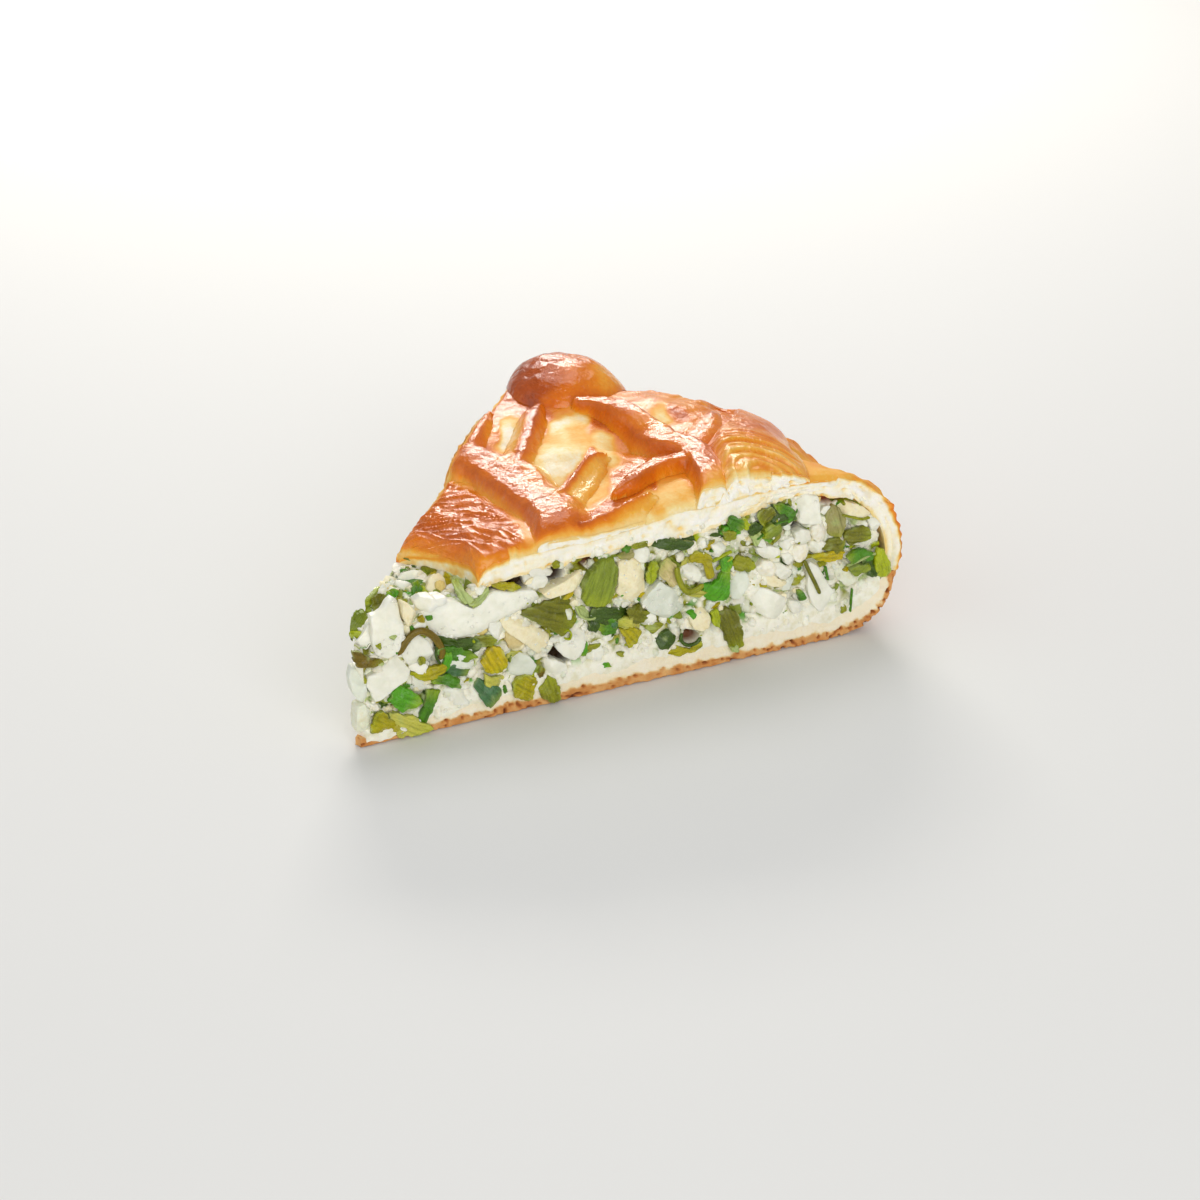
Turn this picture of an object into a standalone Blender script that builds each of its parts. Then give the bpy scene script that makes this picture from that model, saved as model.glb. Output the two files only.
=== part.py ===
"""A slice of a round green onion and egg pie, about an eighth of the whole.

A soft dough base and lid hold a filling of chopped boiled egg and green onion. The lid has a
round steam vent in the pie's middle, so the slice's tip shows the filling from above. Two
bands of slashed dough run round the lid, and a puffed bun and a pleated fold sit on its rim.

Axes: +X to the right, +Y from the tip to the rim, +Z up. The origin is on the surface that
the slice rests on, at the middle of the slice's box. A place on the pie is given as r, the
distance in millimetres from the pie's middle, and angle, in degrees from the slice's middle
line towards +X.
"""
import math
import random

import bmesh
import bpy
import numpy as np
from mathutils import Vector

MM = 0.001

# Driving dimensions, in millimetres and degrees
PIE_RADIUS = 145.0
HALF_ANGLE = 24.0
VENT_RADIUS = 32.0
SEAM_HEIGHT = 15.0
TIP_BULGE = 1.6
GAP = 0.3
WEDGE_REACH = 180.0
WEDGE_HEIGHT = 80.0
SMOOTH_ANGLE = 40.0
MIDDLE_TO_ORIGIN = 0.5 * (PIE_RADIUS - TIP_BULGE)

# Section of the base as (r, z): the face under the filling and the face it rests on
BASE_UPPER = ((2, 2.0), (12, 2.6), (24, 5.2), (45, 6.2), (75, 6.9), (100, 7.0), (118, 7.0),
              (126, 7.2), (131.5, 8.2), (135.5, 10.2), (138.6, 12.6), (140.4, SEAM_HEIGHT))
BASE_LOWER = ((2, 0), (12, 0), (24, 0), (45, 0), (75, 0), (100, 0), (118, 0),
              (128, 0), (134.5, 1.3), (139, 3.9), (142, 8.4), (143.9, SEAM_HEIGHT))

# Section of the lid as (r, z), from the vent's edge over the rim to the foot of the wall
LID_UPPER = ((VENT_RADIUS, 36.4), (34.5, 39.2), (43, 40.3), (56, 40.5), (70, 41.3), (84, 43.1),
             (100, 44.0), (114, 44.6), (125, 44.1), (133, 41.6), (139.5, 36.2), (143.3, 29),
             (PIE_RADIUS, 21), (144.1, SEAM_HEIGHT + GAP))
LID_UNDER = ((VENT_RADIUS, 33.4), (35, 33.2), (43, 33.5), (56, 34.3), (70, 34.7), (84, 34.5),
             (97, 36.4), (110, 39.2), (120, 39.5), (128.5, 37.3), (134.5, 33.4), (138.6, 28),
             (140.4, 21), (140.4, SEAM_HEIGHT + GAP))
# The lid is lower at the left cut and higher at the right one, by this much at each r
LEAN_AT = (32, 50, 66, 80, 105, 125, 135)
LEAN = (2.4, 2.7, 2.2, 1.6, 1.0, 0.4, 0.0)
UNDER_LEAN = (1.3, 2.0, 2.0, 1.5, 1.0, 0.4, 0.0)
# Relief on the lid fades out down the wall between these two heights
WALL_SHAPED = 36.0
WALL_PLAIN = 24.0
# The cut edges of the lid are rounded down, most of all towards the vent
EDGE_WIDTH = 4.5
EDGE_DROP_AT = (60, 85, 130)
EDGE_DROP = (2.0, 0.8, 0.5)
# Soft pillows of dough between the slashes: r, angle, radial and round spread, height
PILLOWS = ((92, -17, 9, 5, 1.4), (80, -5, 12, 8, 2.6), (91, 1.5, 7, 5, 1.8),
           (74, 14, 8, 7, 1.2), (88, 18, 8, 6, 1.4), (117, -3, 9, 10, 1.8))
# Valleys pinched into the rim beside the bun and the fold, read like the pillows
VALLEYS = ((134, 15.5, 8, 10, -6.5), (136, -11, 8, 6, -3.0))

# Bands of slashed dough: gap under them, height of their edges, how much higher a slash lies
# than its band, and the rolled section as (share of the half width, share of the height)
BAND_GAP = 0.5
BAND_EDGE = 0.7
SLASH_LIFT = 0.12
STEPS_PER_SPAN = 4
THIN_SHARE = 0.25
ROLL = ((-1.0, 0.0), (-0.86, 0.62), (-0.55, 0.93), (0.0, 1.0), (0.5, 0.82), (1.0, 0.0))
NEAR_BAND = ((68.5, -27), (64, -17), (60, -9), (56.5, -1), (53.5, 8), (50.5, 17), (48, 27))
NEAR_HALF_WIDTHS = (3.4, 4.0, 4.8, 5.6, 6.2, 5.6, 4.6)
NEAR_HEIGHT = 4.4
FAR_BAND = ((107, -11.5), (105.5, -7), (102.5, -2), (98.5, 4), (96, 10), (93.5, 17), (90.5, 27))
FAR_HALF_WIDTHS = (2.2, 3.6, 4.4, 4.4, 4.2, 3.8, 3.4)
FAR_HEIGHT = 4.6
# Each slash as its path of (r, angle), its half widths and its height
NEAR_SLASHES = (
    (((64, -20), (76, -21.5), (90, -22.6)), (3.0, 2.8, 1.6), 3.2),
    (((61, -9), (76, -11.5), (91, -15), (103.5, -17.4)), (3.2, 3.2, 2.6, 1.0), 5.2),
    (((56, 4), (66, 5), (78, 2), (89, -1.4)), (3.2, 3.2, 2.8, 1.2), 4.8),
    (((51, 16), (60, 19.5), (72, 17), (85.5, 13)), (3.4, 3.6, 3.4, 1.4), 4.4),
)
FAR_SLASHES = (
    (((97, 11.5), (90, 8), (83, 7), (75.5, 10)), (3.4, 3.6, 3.4, 1.6), 4.6),
    (((98, 9), (106, 7.4), (116, 4.8), (125, 2.6)), (2.6, 2.8, 2.4, 1.0), 3.8),
)

# Bun on the rim at the left cut: its middle, its reach along r and round the rim, its height
# and how full its section is
BUN_R = 122.0
BUN_ANGLE = -17.4
BUN_REACH = 17.0
BUN_WIDTH = 15.2
BUN_HEIGHT = 6.2
BUN_FULLNESS = (2.4, 0.75)
BUN_RINGS = 5
BUN_SPOKES = 20

# Fold on the rim at the right cut: its borders as (angle, r), its heights and its pleats
FOLD_INNER = ((0, 132.5), (4, 129), (7.5, 116), (10.5, 103.5), (16, 99.6), (27, 95.8))
FOLD_OUTER = ((0, 136), (4, 136.5), (8, 136.6), (12.5, 133.5), (18, 125), (27, 114.5))
FOLD_HEIGHTS = (1.4, 3.4, 5.4, 6.8, 4.8, 4.4)
PLEATS = 5
PLEAT_DEPTH = 0.9
FOLD_STEPS = 12

# Filling: how far its core lies behind the cuts, and its height in the open vent
CORE_INSET = 1.6
CORE_TIP = 4.0
CORE_VALLEY = 0.3
HEAP_AT = (4, 12, 22, 31)
HEAP = (26.0, 29.5, 32.0, 33.0)
HEAP_LIMIT = 35.5
PROUD = 0.5
TIP_PROUD = 1.8
TIP_PROUD_REACH = 16.0
PIECE_CLEARANCE = 0.5
VENT_CLEARANCE = 7.0
# Pieces that show at the right cut: kind, r, z, length, height and tilt
RIGHT_PIECES = (
    ("egg", 32, 26, 30, 7, 14), ("egg", 10, 27, 8, 12, 0), ("egg", 11, 15, 10, 9, 25),
    ("egg", 17, 21, 8, 7, 0), ("egg", 22, 31, 6, 6, 0), ("egg", 44, 19, 13, 8, -25),
    ("egg", 71, 29, 9, 12, 5), ("egg", 80, 20, 13, 9, -15), ("egg", 108, 14, 13, 9, 0),
    ("egg", 119, 34, 7, 8, 0), ("egg", 116, 27, 10, 7, 20), ("egg", 108, 22, 9, 6, -20),
    ("egg", 58, 12, 10, 6, 10), ("egg", 95, 31, 8, 6, 0), ("egg", 128, 17, 8, 8, 20),
    ("leaf", 51, 23, 14, 10, 10), ("leaf", 63, 27, 10, 13, 0), ("leaf", 71, 15, 8, 9, 10),
    ("ring", 88, 26, 10, 10, 0), ("leaf", 94, 22, 7, 10, 15), ("leaf", 98, 12, 8, 9, -60),
    ("leaf", 104, 35, 14, 8, 20), ("leaf", 124, 25, 9, 7, 0), ("leaf", 121, 18, 7, 10, -70),
    ("leaf", 138, 19, 5, 8, 80), ("ring", 131, 30, 8, 6, 0), ("leaf", 34, 11, 8, 7, 45),
    ("leaf", 36, 17, 7, 7, 0), ("leaf", 45, 11, 8, 7, -10), ("leaf", 13, 9, 9, 7, 20),
    ("leaf", 24, 13, 8, 5, 0), ("ring", 84, 13, 9, 6, 0), ("leaf", 80, 33, 10, 5, 0),
    ("leaf", 39, 30, 9, 4, 0), ("leaf", 22, 8, 6, 5, -30), ("leaf", 3, 28, 8, 8, 60),
    ("egg", 2, 19, 7, 8, 0), ("leaf", 3, 11, 7, 9, 70), ("leaf", 4, 6, 7, 5, 20),
)
# Pieces placed by a rule: where they lie along the left cut, how far they stray from their
# places and their tilt, and sizes as (length, height) ranges
LEFT_FROM = 12.0
LEFT_TO = 134.0
LEFT_SPACING = 12.5
LEFT_ROW = 11.5
LEFT_STRAY = (2.5, 1.5)
LEFT_TILT = 60
EGG_SIZES = ((6, 12), (5, 10))
LEAF_SIZES = ((6, 13), (5, 10))
PIECE_DEPTH = 5.5
LEAF_THICKNESS = 1.1
# Rings of pieces in the vent as (r, count), spread over this share of the slice's angle
HEAP_RINGS = ((8, 2), (15, 3), (22, 4), (28, 5))
HEAP_SPREAD = 0.75
HEAP_LENGTHS = (6, 9)
HEAP_WIDTHS = (5, 7)
HEAP_RISE = 0.8
SEED = 3


def clear_scene():
    for item in list(bpy.data.objects):
        bpy.data.objects.remove(item, do_unlink=True)


def dough_material(name, colour, roughness):
    """Plain Principled finish of one piece, colour as linear red, green and blue."""
    material = bpy.data.materials.new(name)
    material.use_nodes = True
    shader = material.node_tree.nodes["Principled BSDF"]
    shader.inputs["Base Color"].default_value = (*colour, 1.0)
    shader.inputs["Roughness"].default_value = roughness
    shader.inputs["Metallic"].default_value = 0.0
    return material


def curve_point(knots, t):
    """Point of the smooth curve through the knots, with t from 0 to 1."""
    span = t * (len(knots) - 1)
    i = min(int(span), len(knots) - 2)
    f = span - i
    before = np.array(knots[max(i - 1, 0)], float)
    start = np.array(knots[i], float)
    end = np.array(knots[i + 1], float)
    after = np.array(knots[min(i + 2, len(knots) - 1)], float)
    return 0.5 * (2 * start + (end - before) * f
                  + (2 * before - 5 * start + 4 * end - after) * f * f
                  + (3 * start - before - 3 * end + after) * f * f * f)


def curve_points(knots, per_span):
    """Points of the smooth curve through the knots, per_span steps to each span."""
    steps = per_span * (len(knots) - 1)
    return [curve_point(knots, k / steps) for k in range(steps + 1)]


def height_line(knots):
    """Arrays of r and z along a section, for reading its height at any r."""
    points = np.array(curve_points(knots, 8))
    top = int(np.argmax(points[:, 0]))
    return points[:top + 1, 0], points[:top + 1, 1]


LID_UPPER_LINE = height_line(LID_UPPER)
LID_UNDER_LINE = height_line(LID_UNDER)
BASE_UPPER_LINE = height_line(BASE_UPPER)


def world(r, angle, z):
    """Place on the pie in metres, in the slice's own frame."""
    turn = math.radians(angle)
    return Vector((r * math.sin(turn), r * math.cos(turn) - MIDDLE_TO_ORIGIN, z)) * MM


def polar(x, y):
    """r and angle of a point given in millimetres from the pie's middle."""
    return math.hypot(x, y), math.degrees(math.atan2(x, y))


def lean(r, angle, amounts=LEAN):
    """How much higher a face of the lid lies here than on the slice's middle line."""
    return float(np.interp(r, LEAN_AT, amounts)) * angle / HALF_ANGLE


def edge_drop(r, angle):
    """How far the lid's upper face rounds down beside a cut."""
    away = r * math.sin(math.radians(max(HALF_ANGLE - abs(angle), 0)))
    if away >= EDGE_WIDTH:
        return 0.0
    return float(np.interp(r, EDGE_DROP_AT, EDGE_DROP)) * (1 - away / EDGE_WIDTH) ** 2


def swells(shapes, r, angle):
    """Height of soft round swells, each given as r, angle, two spreads and a height."""
    rise = 0.0
    for middle_r, middle_angle, along, around, height in shapes:
        out = (r - middle_r) / along
        side = math.radians(angle - middle_angle) * middle_r / around
        rise += height * math.exp(-out * out - side * side)
    return rise


def relief(r, angle):
    return lean(r, angle) - edge_drop(r, angle) + swells(PILLOWS + VALLEYS, r, angle)


def under_relief(r, angle):
    return lean(r, angle, UNDER_LEAN) + swells(VALLEYS, r, angle)


def lid_height(r, angle):
    """Height of the lid's upper face."""
    return float(np.interp(r, *LID_UPPER_LINE)) + relief(r, angle)


def lid_underside(r, angle):
    """Height of the lid's lower face, which is the filling's ceiling."""
    return float(np.interp(r, *LID_UNDER_LINE)) + under_relief(r, angle)


def across(count):
    """Angles across the slice, closer together beside the cuts."""
    steps = np.linspace(-1, 1, count)
    return HALF_ANGLE * (0.65 * steps + 0.35 * np.sin(0.5 * math.pi * steps))


def link_object(name, mesh, material):
    item = bpy.data.objects.new(name, mesh)
    item.data.materials.append(material)
    bpy.context.collection.objects.link(item)
    return item


def slab(name, upper, lower, material):
    """Closed solid between two faces made of equal rows of points."""
    rows = len(upper)
    columns = len(upper[0])
    form = bmesh.new()
    top = [[form.verts.new(point) for point in row] for row in upper]
    bottom = [[form.verts.new(point) for point in row] for row in lower]
    for i in range(rows - 1):
        for j in range(columns - 1):
            form.faces.new((top[i][j], top[i][j + 1], top[i + 1][j + 1], top[i + 1][j]))
            form.faces.new((bottom[i][j], bottom[i + 1][j], bottom[i + 1][j + 1],
                            bottom[i][j + 1]))
    rim = ([(0, j) for j in range(columns - 1)]
           + [(i, columns - 1) for i in range(rows - 1)]
           + [(rows - 1, j) for j in range(columns - 1, 0, -1)]
           + [(i, 0) for i in range(rows - 1, 0, -1)])
    for (i, j), (k, m) in zip(rim, rim[1:] + rim[:1]):
        form.faces.new((top[i][j], bottom[i][j], bottom[k][m], top[k][m]))
    bmesh.ops.recalc_face_normals(form, faces=form.faces)
    bmesh.ops.triangulate(form, faces=form.faces)
    mesh = bpy.data.meshes.new(name)
    form.to_mesh(mesh)
    form.free()
    return link_object(name, mesh, material)


def join(name, parts):
    """One solid out of overlapping ones, by a Boolean union on their collection."""
    body = parts[0]
    others = bpy.data.collections.new(name + "_pieces")
    bpy.context.scene.collection.children.link(others)
    for part in parts[1:]:
        others.objects.link(part)
    union = body.modifiers.new("union", "BOOLEAN")
    union.operation = "UNION"
    union.operand_type = "COLLECTION"
    union.collection = others
    union.solver = "EXACT"
    apply_modifiers(body)
    for part in parts[1:]:
        bpy.data.objects.remove(part, do_unlink=True)
    bpy.data.collections.remove(others)
    keep_main_shell(body)
    body.name = name
    return body


def keep_main_shell(item):
    """Fill the hollows that a union seals and drop loose scraps: only the main shell stays."""
    form = bmesh.new()
    form.from_mesh(item.data)
    waiting = set(form.verts)
    shells = []
    while waiting:
        shell = []
        front = [waiting.pop()]
        while front:
            vert = front.pop()
            shell.append(vert)
            for edge in vert.link_edges:
                other = edge.other_vert(vert)
                if other in waiting:
                    waiting.remove(other)
                    front.append(other)
        shells.append(shell)
    shells.sort(key=len)
    for shell in shells[:-1]:
        bmesh.ops.delete(form, geom=shell, context="VERTS")
    form.to_mesh(item.data)
    form.free()


def apply_modifiers(item):
    """Replace the object's mesh with its evaluated one and drop its modifiers."""
    evaluated = item.evaluated_get(bpy.context.evaluated_depsgraph_get())
    mesh = bpy.data.meshes.new_from_object(evaluated)
    item.modifiers.clear()
    item.data = mesh


def knife_wedge():
    """The space between the two cuts, from the table to well past the pie's top and rim."""
    form = bmesh.new()
    floor = [form.verts.new(world(r, angle, 0))
             for r, angle in ((0, 0), (WEDGE_REACH, HALF_ANGLE), (WEDGE_REACH, -HALF_ANGLE))]
    base = form.faces.new(floor)
    grown = bmesh.ops.extrude_face_region(form, geom=[base])
    raised = [part for part in grown["geom"] if isinstance(part, bmesh.types.BMVert)]
    bmesh.ops.translate(form, verts=raised, vec=(0, 0, WEDGE_HEIGHT * MM))
    bmesh.ops.recalc_face_normals(form, faces=form.faces)
    mesh = bpy.data.meshes.new("knife_wedge")
    form.to_mesh(mesh)
    form.free()
    wedge = bpy.data.objects.new("knife_wedge", mesh)
    bpy.context.collection.objects.link(wedge)
    return wedge


def trim_to_slice(items):
    """Cut pieces that reach past the slice's two cuts."""
    wedge = knife_wedge()
    for item in items:
        cut = item.modifiers.new("cut", "BOOLEAN")
        cut.operation = "INTERSECT"
        cut.object = wedge
        cut.solver = "EXACT"
        apply_modifiers(item)
    bpy.data.objects.remove(wedge, do_unlink=True)


def smooth_shade(item):
    item.data.shade_smooth()
    item.data.set_sharp_from_angle(angle=math.radians(SMOOTH_ANGLE))


def make_base(material):
    angles = across(11)
    upper = [[world(r, angle, z) for angle in angles] for r, z in curve_points(BASE_UPPER, 2)]
    lower = [[world(r, angle, max(z, 0)) for angle in angles]
             for r, z in curve_points(BASE_LOWER, 2)]
    return slab("bottom_crust", upper, lower, material)


def make_lid(material):
    angles = across(23)
    upper = [[world(r, angle, z + relief(r, angle) * lid_share(z)) for angle in angles]
             for r, z in curve_points(LID_UPPER, 2)]
    under = [[world(r, angle, z + under_relief(r, angle) * lid_share(z)) for angle in angles]
             for r, z in curve_points(LID_UNDER, 2)]
    return slab("top_crust", upper, under, material)


def lid_share(z):
    """1 on top of the lid, falling to 0 down the wall, where no relief belongs."""
    return min(max((z - WALL_PLAIN) / (WALL_SHAPED - WALL_PLAIN), 0.0), 1.0)


def strap(name, path, half_widths, height, lift, material):
    """A rolled strip of dough along a path on the lid, steep at the side nearer the tip."""
    steps = STEPS_PER_SPAN * (len(path) - 1)
    plan = []
    for k in range(steps + 1):
        r, angle = curve_point(path, k / steps)
        turn = math.radians(angle)
        plan.append(np.array((r * math.sin(turn), r * math.cos(turn))))
    upper = []
    lower = []
    for k, middle in enumerate(plan):
        ahead = plan[min(k + 1, steps)] - plan[max(k - 1, 0)]
        ahead /= np.linalg.norm(ahead)
        side = np.array((-ahead[1], ahead[0]))
        t = k / steps
        half = float(np.interp(t, np.linspace(0, 1, len(half_widths)), half_widths))
        swell = height * min(1.0, half / max(half_widths) + THIN_SHARE)
        top_row = []
        low_row = []
        for share, rise in ROLL:
            r, angle = polar(*(middle + side * half * share))
            ground = lid_height(r, angle) + BAND_GAP + lift
            low_row.append(world(r, angle, ground))
            top_row.append(world(r, angle, ground + BAND_EDGE + rise * swell))
        upper.append(top_row)
        lower.append(low_row)
    return slab(name, upper, lower, material)


def make_band(name, path, half_widths, height, slashes, material):
    """A band of dough with its slashes, as one solid."""
    parts = [strap(name, path, half_widths, height, 0.0, material)]
    for k, (line, widths, rise) in enumerate(slashes):
        parts.append(strap(f"{name}_slash_{k}", line, widths, rise, SLASH_LIFT, material))
    return join(name, parts)


def make_bun(material):
    """A puffed bun of dough, set on the rim."""
    upper = []
    lower = []
    for i in range(BUN_RINGS + 1):
        share = i / BUN_RINGS
        top_row = []
        low_row = []
        for k in range(BUN_SPOKES):
            turn = math.tau * k / BUN_SPOKES
            r = BUN_R + share * BUN_REACH * math.cos(turn)
            angle = BUN_ANGLE + math.degrees(share * BUN_WIDTH * math.sin(turn) / BUN_R)
            ground = lid_height(r, angle) + BAND_GAP
            puff = BUN_HEIGHT * (1 - share ** BUN_FULLNESS[0]) ** BUN_FULLNESS[1]
            low_row.append(world(r, angle, ground))
            top_row.append(world(r, angle, ground + BAND_EDGE + puff))
        upper.append(top_row)
        lower.append(low_row)
    return domed("rim_bun", upper, lower, material)


def domed(name, upper, lower, material):
    """Closed solid between two round faces, each made of rings about its first row's point."""
    spokes = len(upper[0])
    form = bmesh.new()
    rims = []
    for rows in (upper, lower):
        middle = form.verts.new(rows[0][0])
        rings = [[form.verts.new(point) for point in row] for row in rows[1:]]
        for k in range(spokes):
            m = (k + 1) % spokes
            form.faces.new((middle, rings[0][k], rings[0][m]))
            for inner, outer in zip(rings, rings[1:]):
                form.faces.new((inner[k], outer[k], outer[m], inner[m]))
        rims.append(rings[-1])
    top_rim, low_rim = rims
    for k in range(spokes):
        m = (k + 1) % spokes
        form.faces.new((top_rim[k], low_rim[k], low_rim[m], top_rim[m]))
    bmesh.ops.recalc_face_normals(form, faces=form.faces)
    bmesh.ops.triangulate(form, faces=form.faces)
    mesh = bpy.data.meshes.new(name)
    form.to_mesh(mesh)
    form.free()
    return link_object(name, mesh, material)


def make_fold(material):
    """A flap of dough along the rim, pleated lengthways, widest at the right cut."""
    sideways = 2 * PLEATS + 4
    upper = []
    lower = []
    for i in range(FOLD_STEPS + 1):
        t = i / FOLD_STEPS
        angle, inner = curve_point(FOLD_INNER, t)
        _, outer = curve_point(FOLD_OUTER, t)
        height = float(np.interp(t, np.linspace(0, 1, len(FOLD_HEIGHTS)), FOLD_HEIGHTS))
        top_row = []
        low_row = []
        for j in range(sideways + 1):
            share = j / sideways
            r = inner + (outer - inner) * share
            ground = lid_height(r, angle) + BAND_GAP
            swell = math.sin(math.pi * share ** 1.2) ** 0.7 if 0 < share < 1 else 0.0
            pleat = PLEAT_DEPTH * ((share * PLEATS) % 1.0 - 0.5)
            body = (height + pleat) * swell
            low_row.append(world(r, angle, ground))
            top_row.append(world(r, angle, ground + BAND_EDGE + body))
        upper.append(top_row)
        lower.append(low_row)
    return slab("rim_fold", upper, lower, material)


def core_angles(r, count):
    """Angles across the filling's core at r, which lies behind both cuts."""
    limit = max(HALF_ANGLE - math.degrees(CORE_INSET / r), 3.0)
    return [limit * share for share in np.linspace(-1, 1, count)]


def core_relief(r, angle):
    """As under the lid, with deeper valleys, which the core's few columns then clear."""
    return under_relief(r, angle) + CORE_VALLEY * swells(VALLEYS, r, angle)


def make_core(material):
    """The filling's smooth core, between the base and the lid and open in the vent."""
    columns = 13
    upper = []
    lower = []
    vent_rows = [(r, None) for r in HEAP_AT]
    under_rows = [(r - GAP, z - GAP) for r, z in curve_points(LID_UNDER, 2)[2:]]
    rows = vent_rows + under_rows
    reach = BASE_UPPER[-1][0] - 2 * GAP
    foot = [CORE_TIP + (reach - CORE_TIP) * (k / (len(rows) - 1)) for k in range(len(rows))]
    for (r, z), foot_r in zip(rows, foot):
        if z is None:
            z = float(np.interp(r, HEAP_AT, HEAP))
        upper.append([world(r, angle, z + core_relief(r, angle) * lid_share(z))
                      for angle in core_angles(r, columns)])
        low_row = []
        for angle in core_angles(foot_r, columns):
            low = float(np.interp(foot_r, *BASE_UPPER_LINE)) + GAP
            low_row.append(world(foot_r, angle, low))
        lower.append(low_row)
    return slab("filling", upper, lower, material)


def egg_form(draw, length, height):
    """Points of an uneven block of boiled egg about the middle, along, up and out."""
    points = []
    for side_x in (-1, 1):
        for side_y in (-1, 1):
            for side_z in (-1, 1):
                points.append((side_x * length * draw.uniform(0.36, 0.5),
                               side_y * height * draw.uniform(0.34, 0.5),
                               side_z * PIECE_DEPTH * draw.uniform(0.4, 0.6)))
    points.append((length * 0.52, height * draw.uniform(-0.2, 0.2), 0))
    points.append((-length * 0.52, height * draw.uniform(-0.2, 0.2), 0))
    points.append((length * draw.uniform(-0.2, 0.2), 0.52 * height, 0))
    points.append((0, 0, PIECE_DEPTH * 0.66))
    return points


def hull_mesh(points):
    form = bmesh.new()
    for point in points:
        form.verts.new(point)
    hull = bmesh.ops.convex_hull(form, input=form.verts)
    loose = [part for part in hull["geom_interior"] if isinstance(part, bmesh.types.BMVert)]
    bmesh.ops.delete(form, geom=loose, context="VERTS")
    return form


def leaf_mesh(draw, length, height):
    """A thin wavy piece of onion leaf, both of its faces split alike."""
    cells = 3
    wave = draw.uniform(0.7, 1.4)
    phase = draw.uniform(0, math.tau)
    cup = draw.uniform(-1.6, 1.6)
    form = bmesh.new()
    sheets = []
    for face in (1, -1):
        rows = []
        for i in range(cells + 1):
            along = i / cells - 0.5
            row = []
            for j in range(3):
                up = j / 2 - 0.5
                out = wave * math.sin(4.2 * along + phase) + cup * (2 * up) ** 2
                row.append(form.verts.new((along * length, up * height,
                                           out + face * 0.5 * LEAF_THICKNESS)))
            rows.append(row)
        sheets.append(rows)
    front, back = sheets
    for i in range(cells):
        for j in range(2):
            form.faces.new((front[i][j], front[i + 1][j], front[i + 1][j + 1], front[i][j + 1]))
            form.faces.new((back[i][j], back[i + 1][j], back[i + 1][j + 1], back[i][j + 1]))
        form.faces.new((front[i][0], front[i + 1][0], back[i + 1][0], back[i][0]))
        form.faces.new((front[i][2], front[i + 1][2], back[i + 1][2], back[i][2]))
    for j in range(2):
        form.faces.new((front[0][j], front[0][j + 1], back[0][j + 1], back[0][j]))
        form.faces.new((front[cells][j], front[cells][j + 1], back[cells][j + 1],
                        back[cells][j]))
    return form


def ring_mesh(length, height):
    """A slice of hollow onion leaf: an open curl seen end on."""
    segments = 7
    form = bmesh.new()
    loops = []
    for k in range(segments):
        turn = math.radians(20 + 300 * k / (segments - 1))
        loop = []
        for share in (1.0, 0.72):
            for out in (-0.4, 0.45):
                loop.append(form.verts.new((0.5 * length * share * math.cos(turn),
                                            0.5 * height * share * math.sin(turn),
                                            out * PIECE_DEPTH)))
        loops.append((loop[0], loop[1], loop[3], loop[2]))
    for one, two in zip(loops, loops[1:]):
        for k in range(4):
            m = (k + 1) % 4
            form.faces.new((one[k], one[m], two[m], two[k]))
    form.faces.new(loops[0])
    form.faces.new(loops[-1])
    return form


def ceiling(r, angle):
    """Highest place a piece of filling may reach."""
    if r < VENT_RADIUS - VENT_CLEARANCE:
        return HEAP_LIMIT + lean(r, angle, UNDER_LEAN)
    return lid_underside(max(r, VENT_RADIUS), angle) - GAP


def cut_normal(sign):
    """Outward normal of a cut in plan: sign is 1 for the right cut and -1 for the left one."""
    turn = math.radians(HALF_ANGLE)
    return np.array((sign * math.cos(turn), -math.sin(turn)))


def proud_limit(r):
    """How far a piece may stand out of a cut: most at the soft tip."""
    return PROUD + TIP_PROUD * max(0.0, 1 - r / TIP_PROUD_REACH)


def shift_clear(points, give):
    """Move a whole piece back from beyond the cuts, off the base and out of the lid."""
    spare = PIECE_CLEARANCE * (1 + give)
    r, angle = polar(*points[:, :2].mean(axis=0))
    for sign in (1, -1):
        normal = cut_normal(sign)
        past = float(np.max(points[:, :2] @ normal)) - proud_limit(r) * give
        if past > 0:
            points[:, :2] -= normal * past
    floor = float(np.interp(r, *BASE_UPPER_LINE)) + spare + GAP
    points[:, 2] += max(floor - points[:, 2].min(), 0)
    points[:, 2] -= max(points[:, 2].max() - ceiling(r, angle) + spare, 0)


def keep_clear(form, give):
    """Shift a piece clear of crust and cuts, then press in the corners that still reach out.

    give, from 0 to 1, is the piece's own share, so that no two pieces end in one plane.
    """
    spare = PIECE_CLEARANCE * (1 + give)
    wall = LID_UNDER[-1][0] - spare - GAP
    points = np.array([vert.co for vert in form.verts]) / MM
    points[:, 1] += MIDDLE_TO_ORIGIN
    shift_clear(points, give)
    for vert, (x, y, z) in zip(form.verts, points):
        for sign in (1, -1):
            normal = cut_normal(sign)
            past = x * normal[0] + y * normal[1] - proud_limit(math.hypot(x, y))
            if past > 0:
                x -= normal[0] * past
                y -= normal[1] * past
        y = max(y, -TIP_BULGE * (0.7 + 0.3 * give))
        r, angle = polar(x, y)
        if r > wall:
            x *= wall / r
            y *= wall / r
            r = wall
        floor = float(np.interp(r, *BASE_UPPER_LINE)) + spare + GAP
        z = min(max(z, floor), ceiling(r, angle) - spare)
        vert.co = Vector((x * MM, (y - MIDDLE_TO_ORIGIN) * MM, z * MM))


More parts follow.
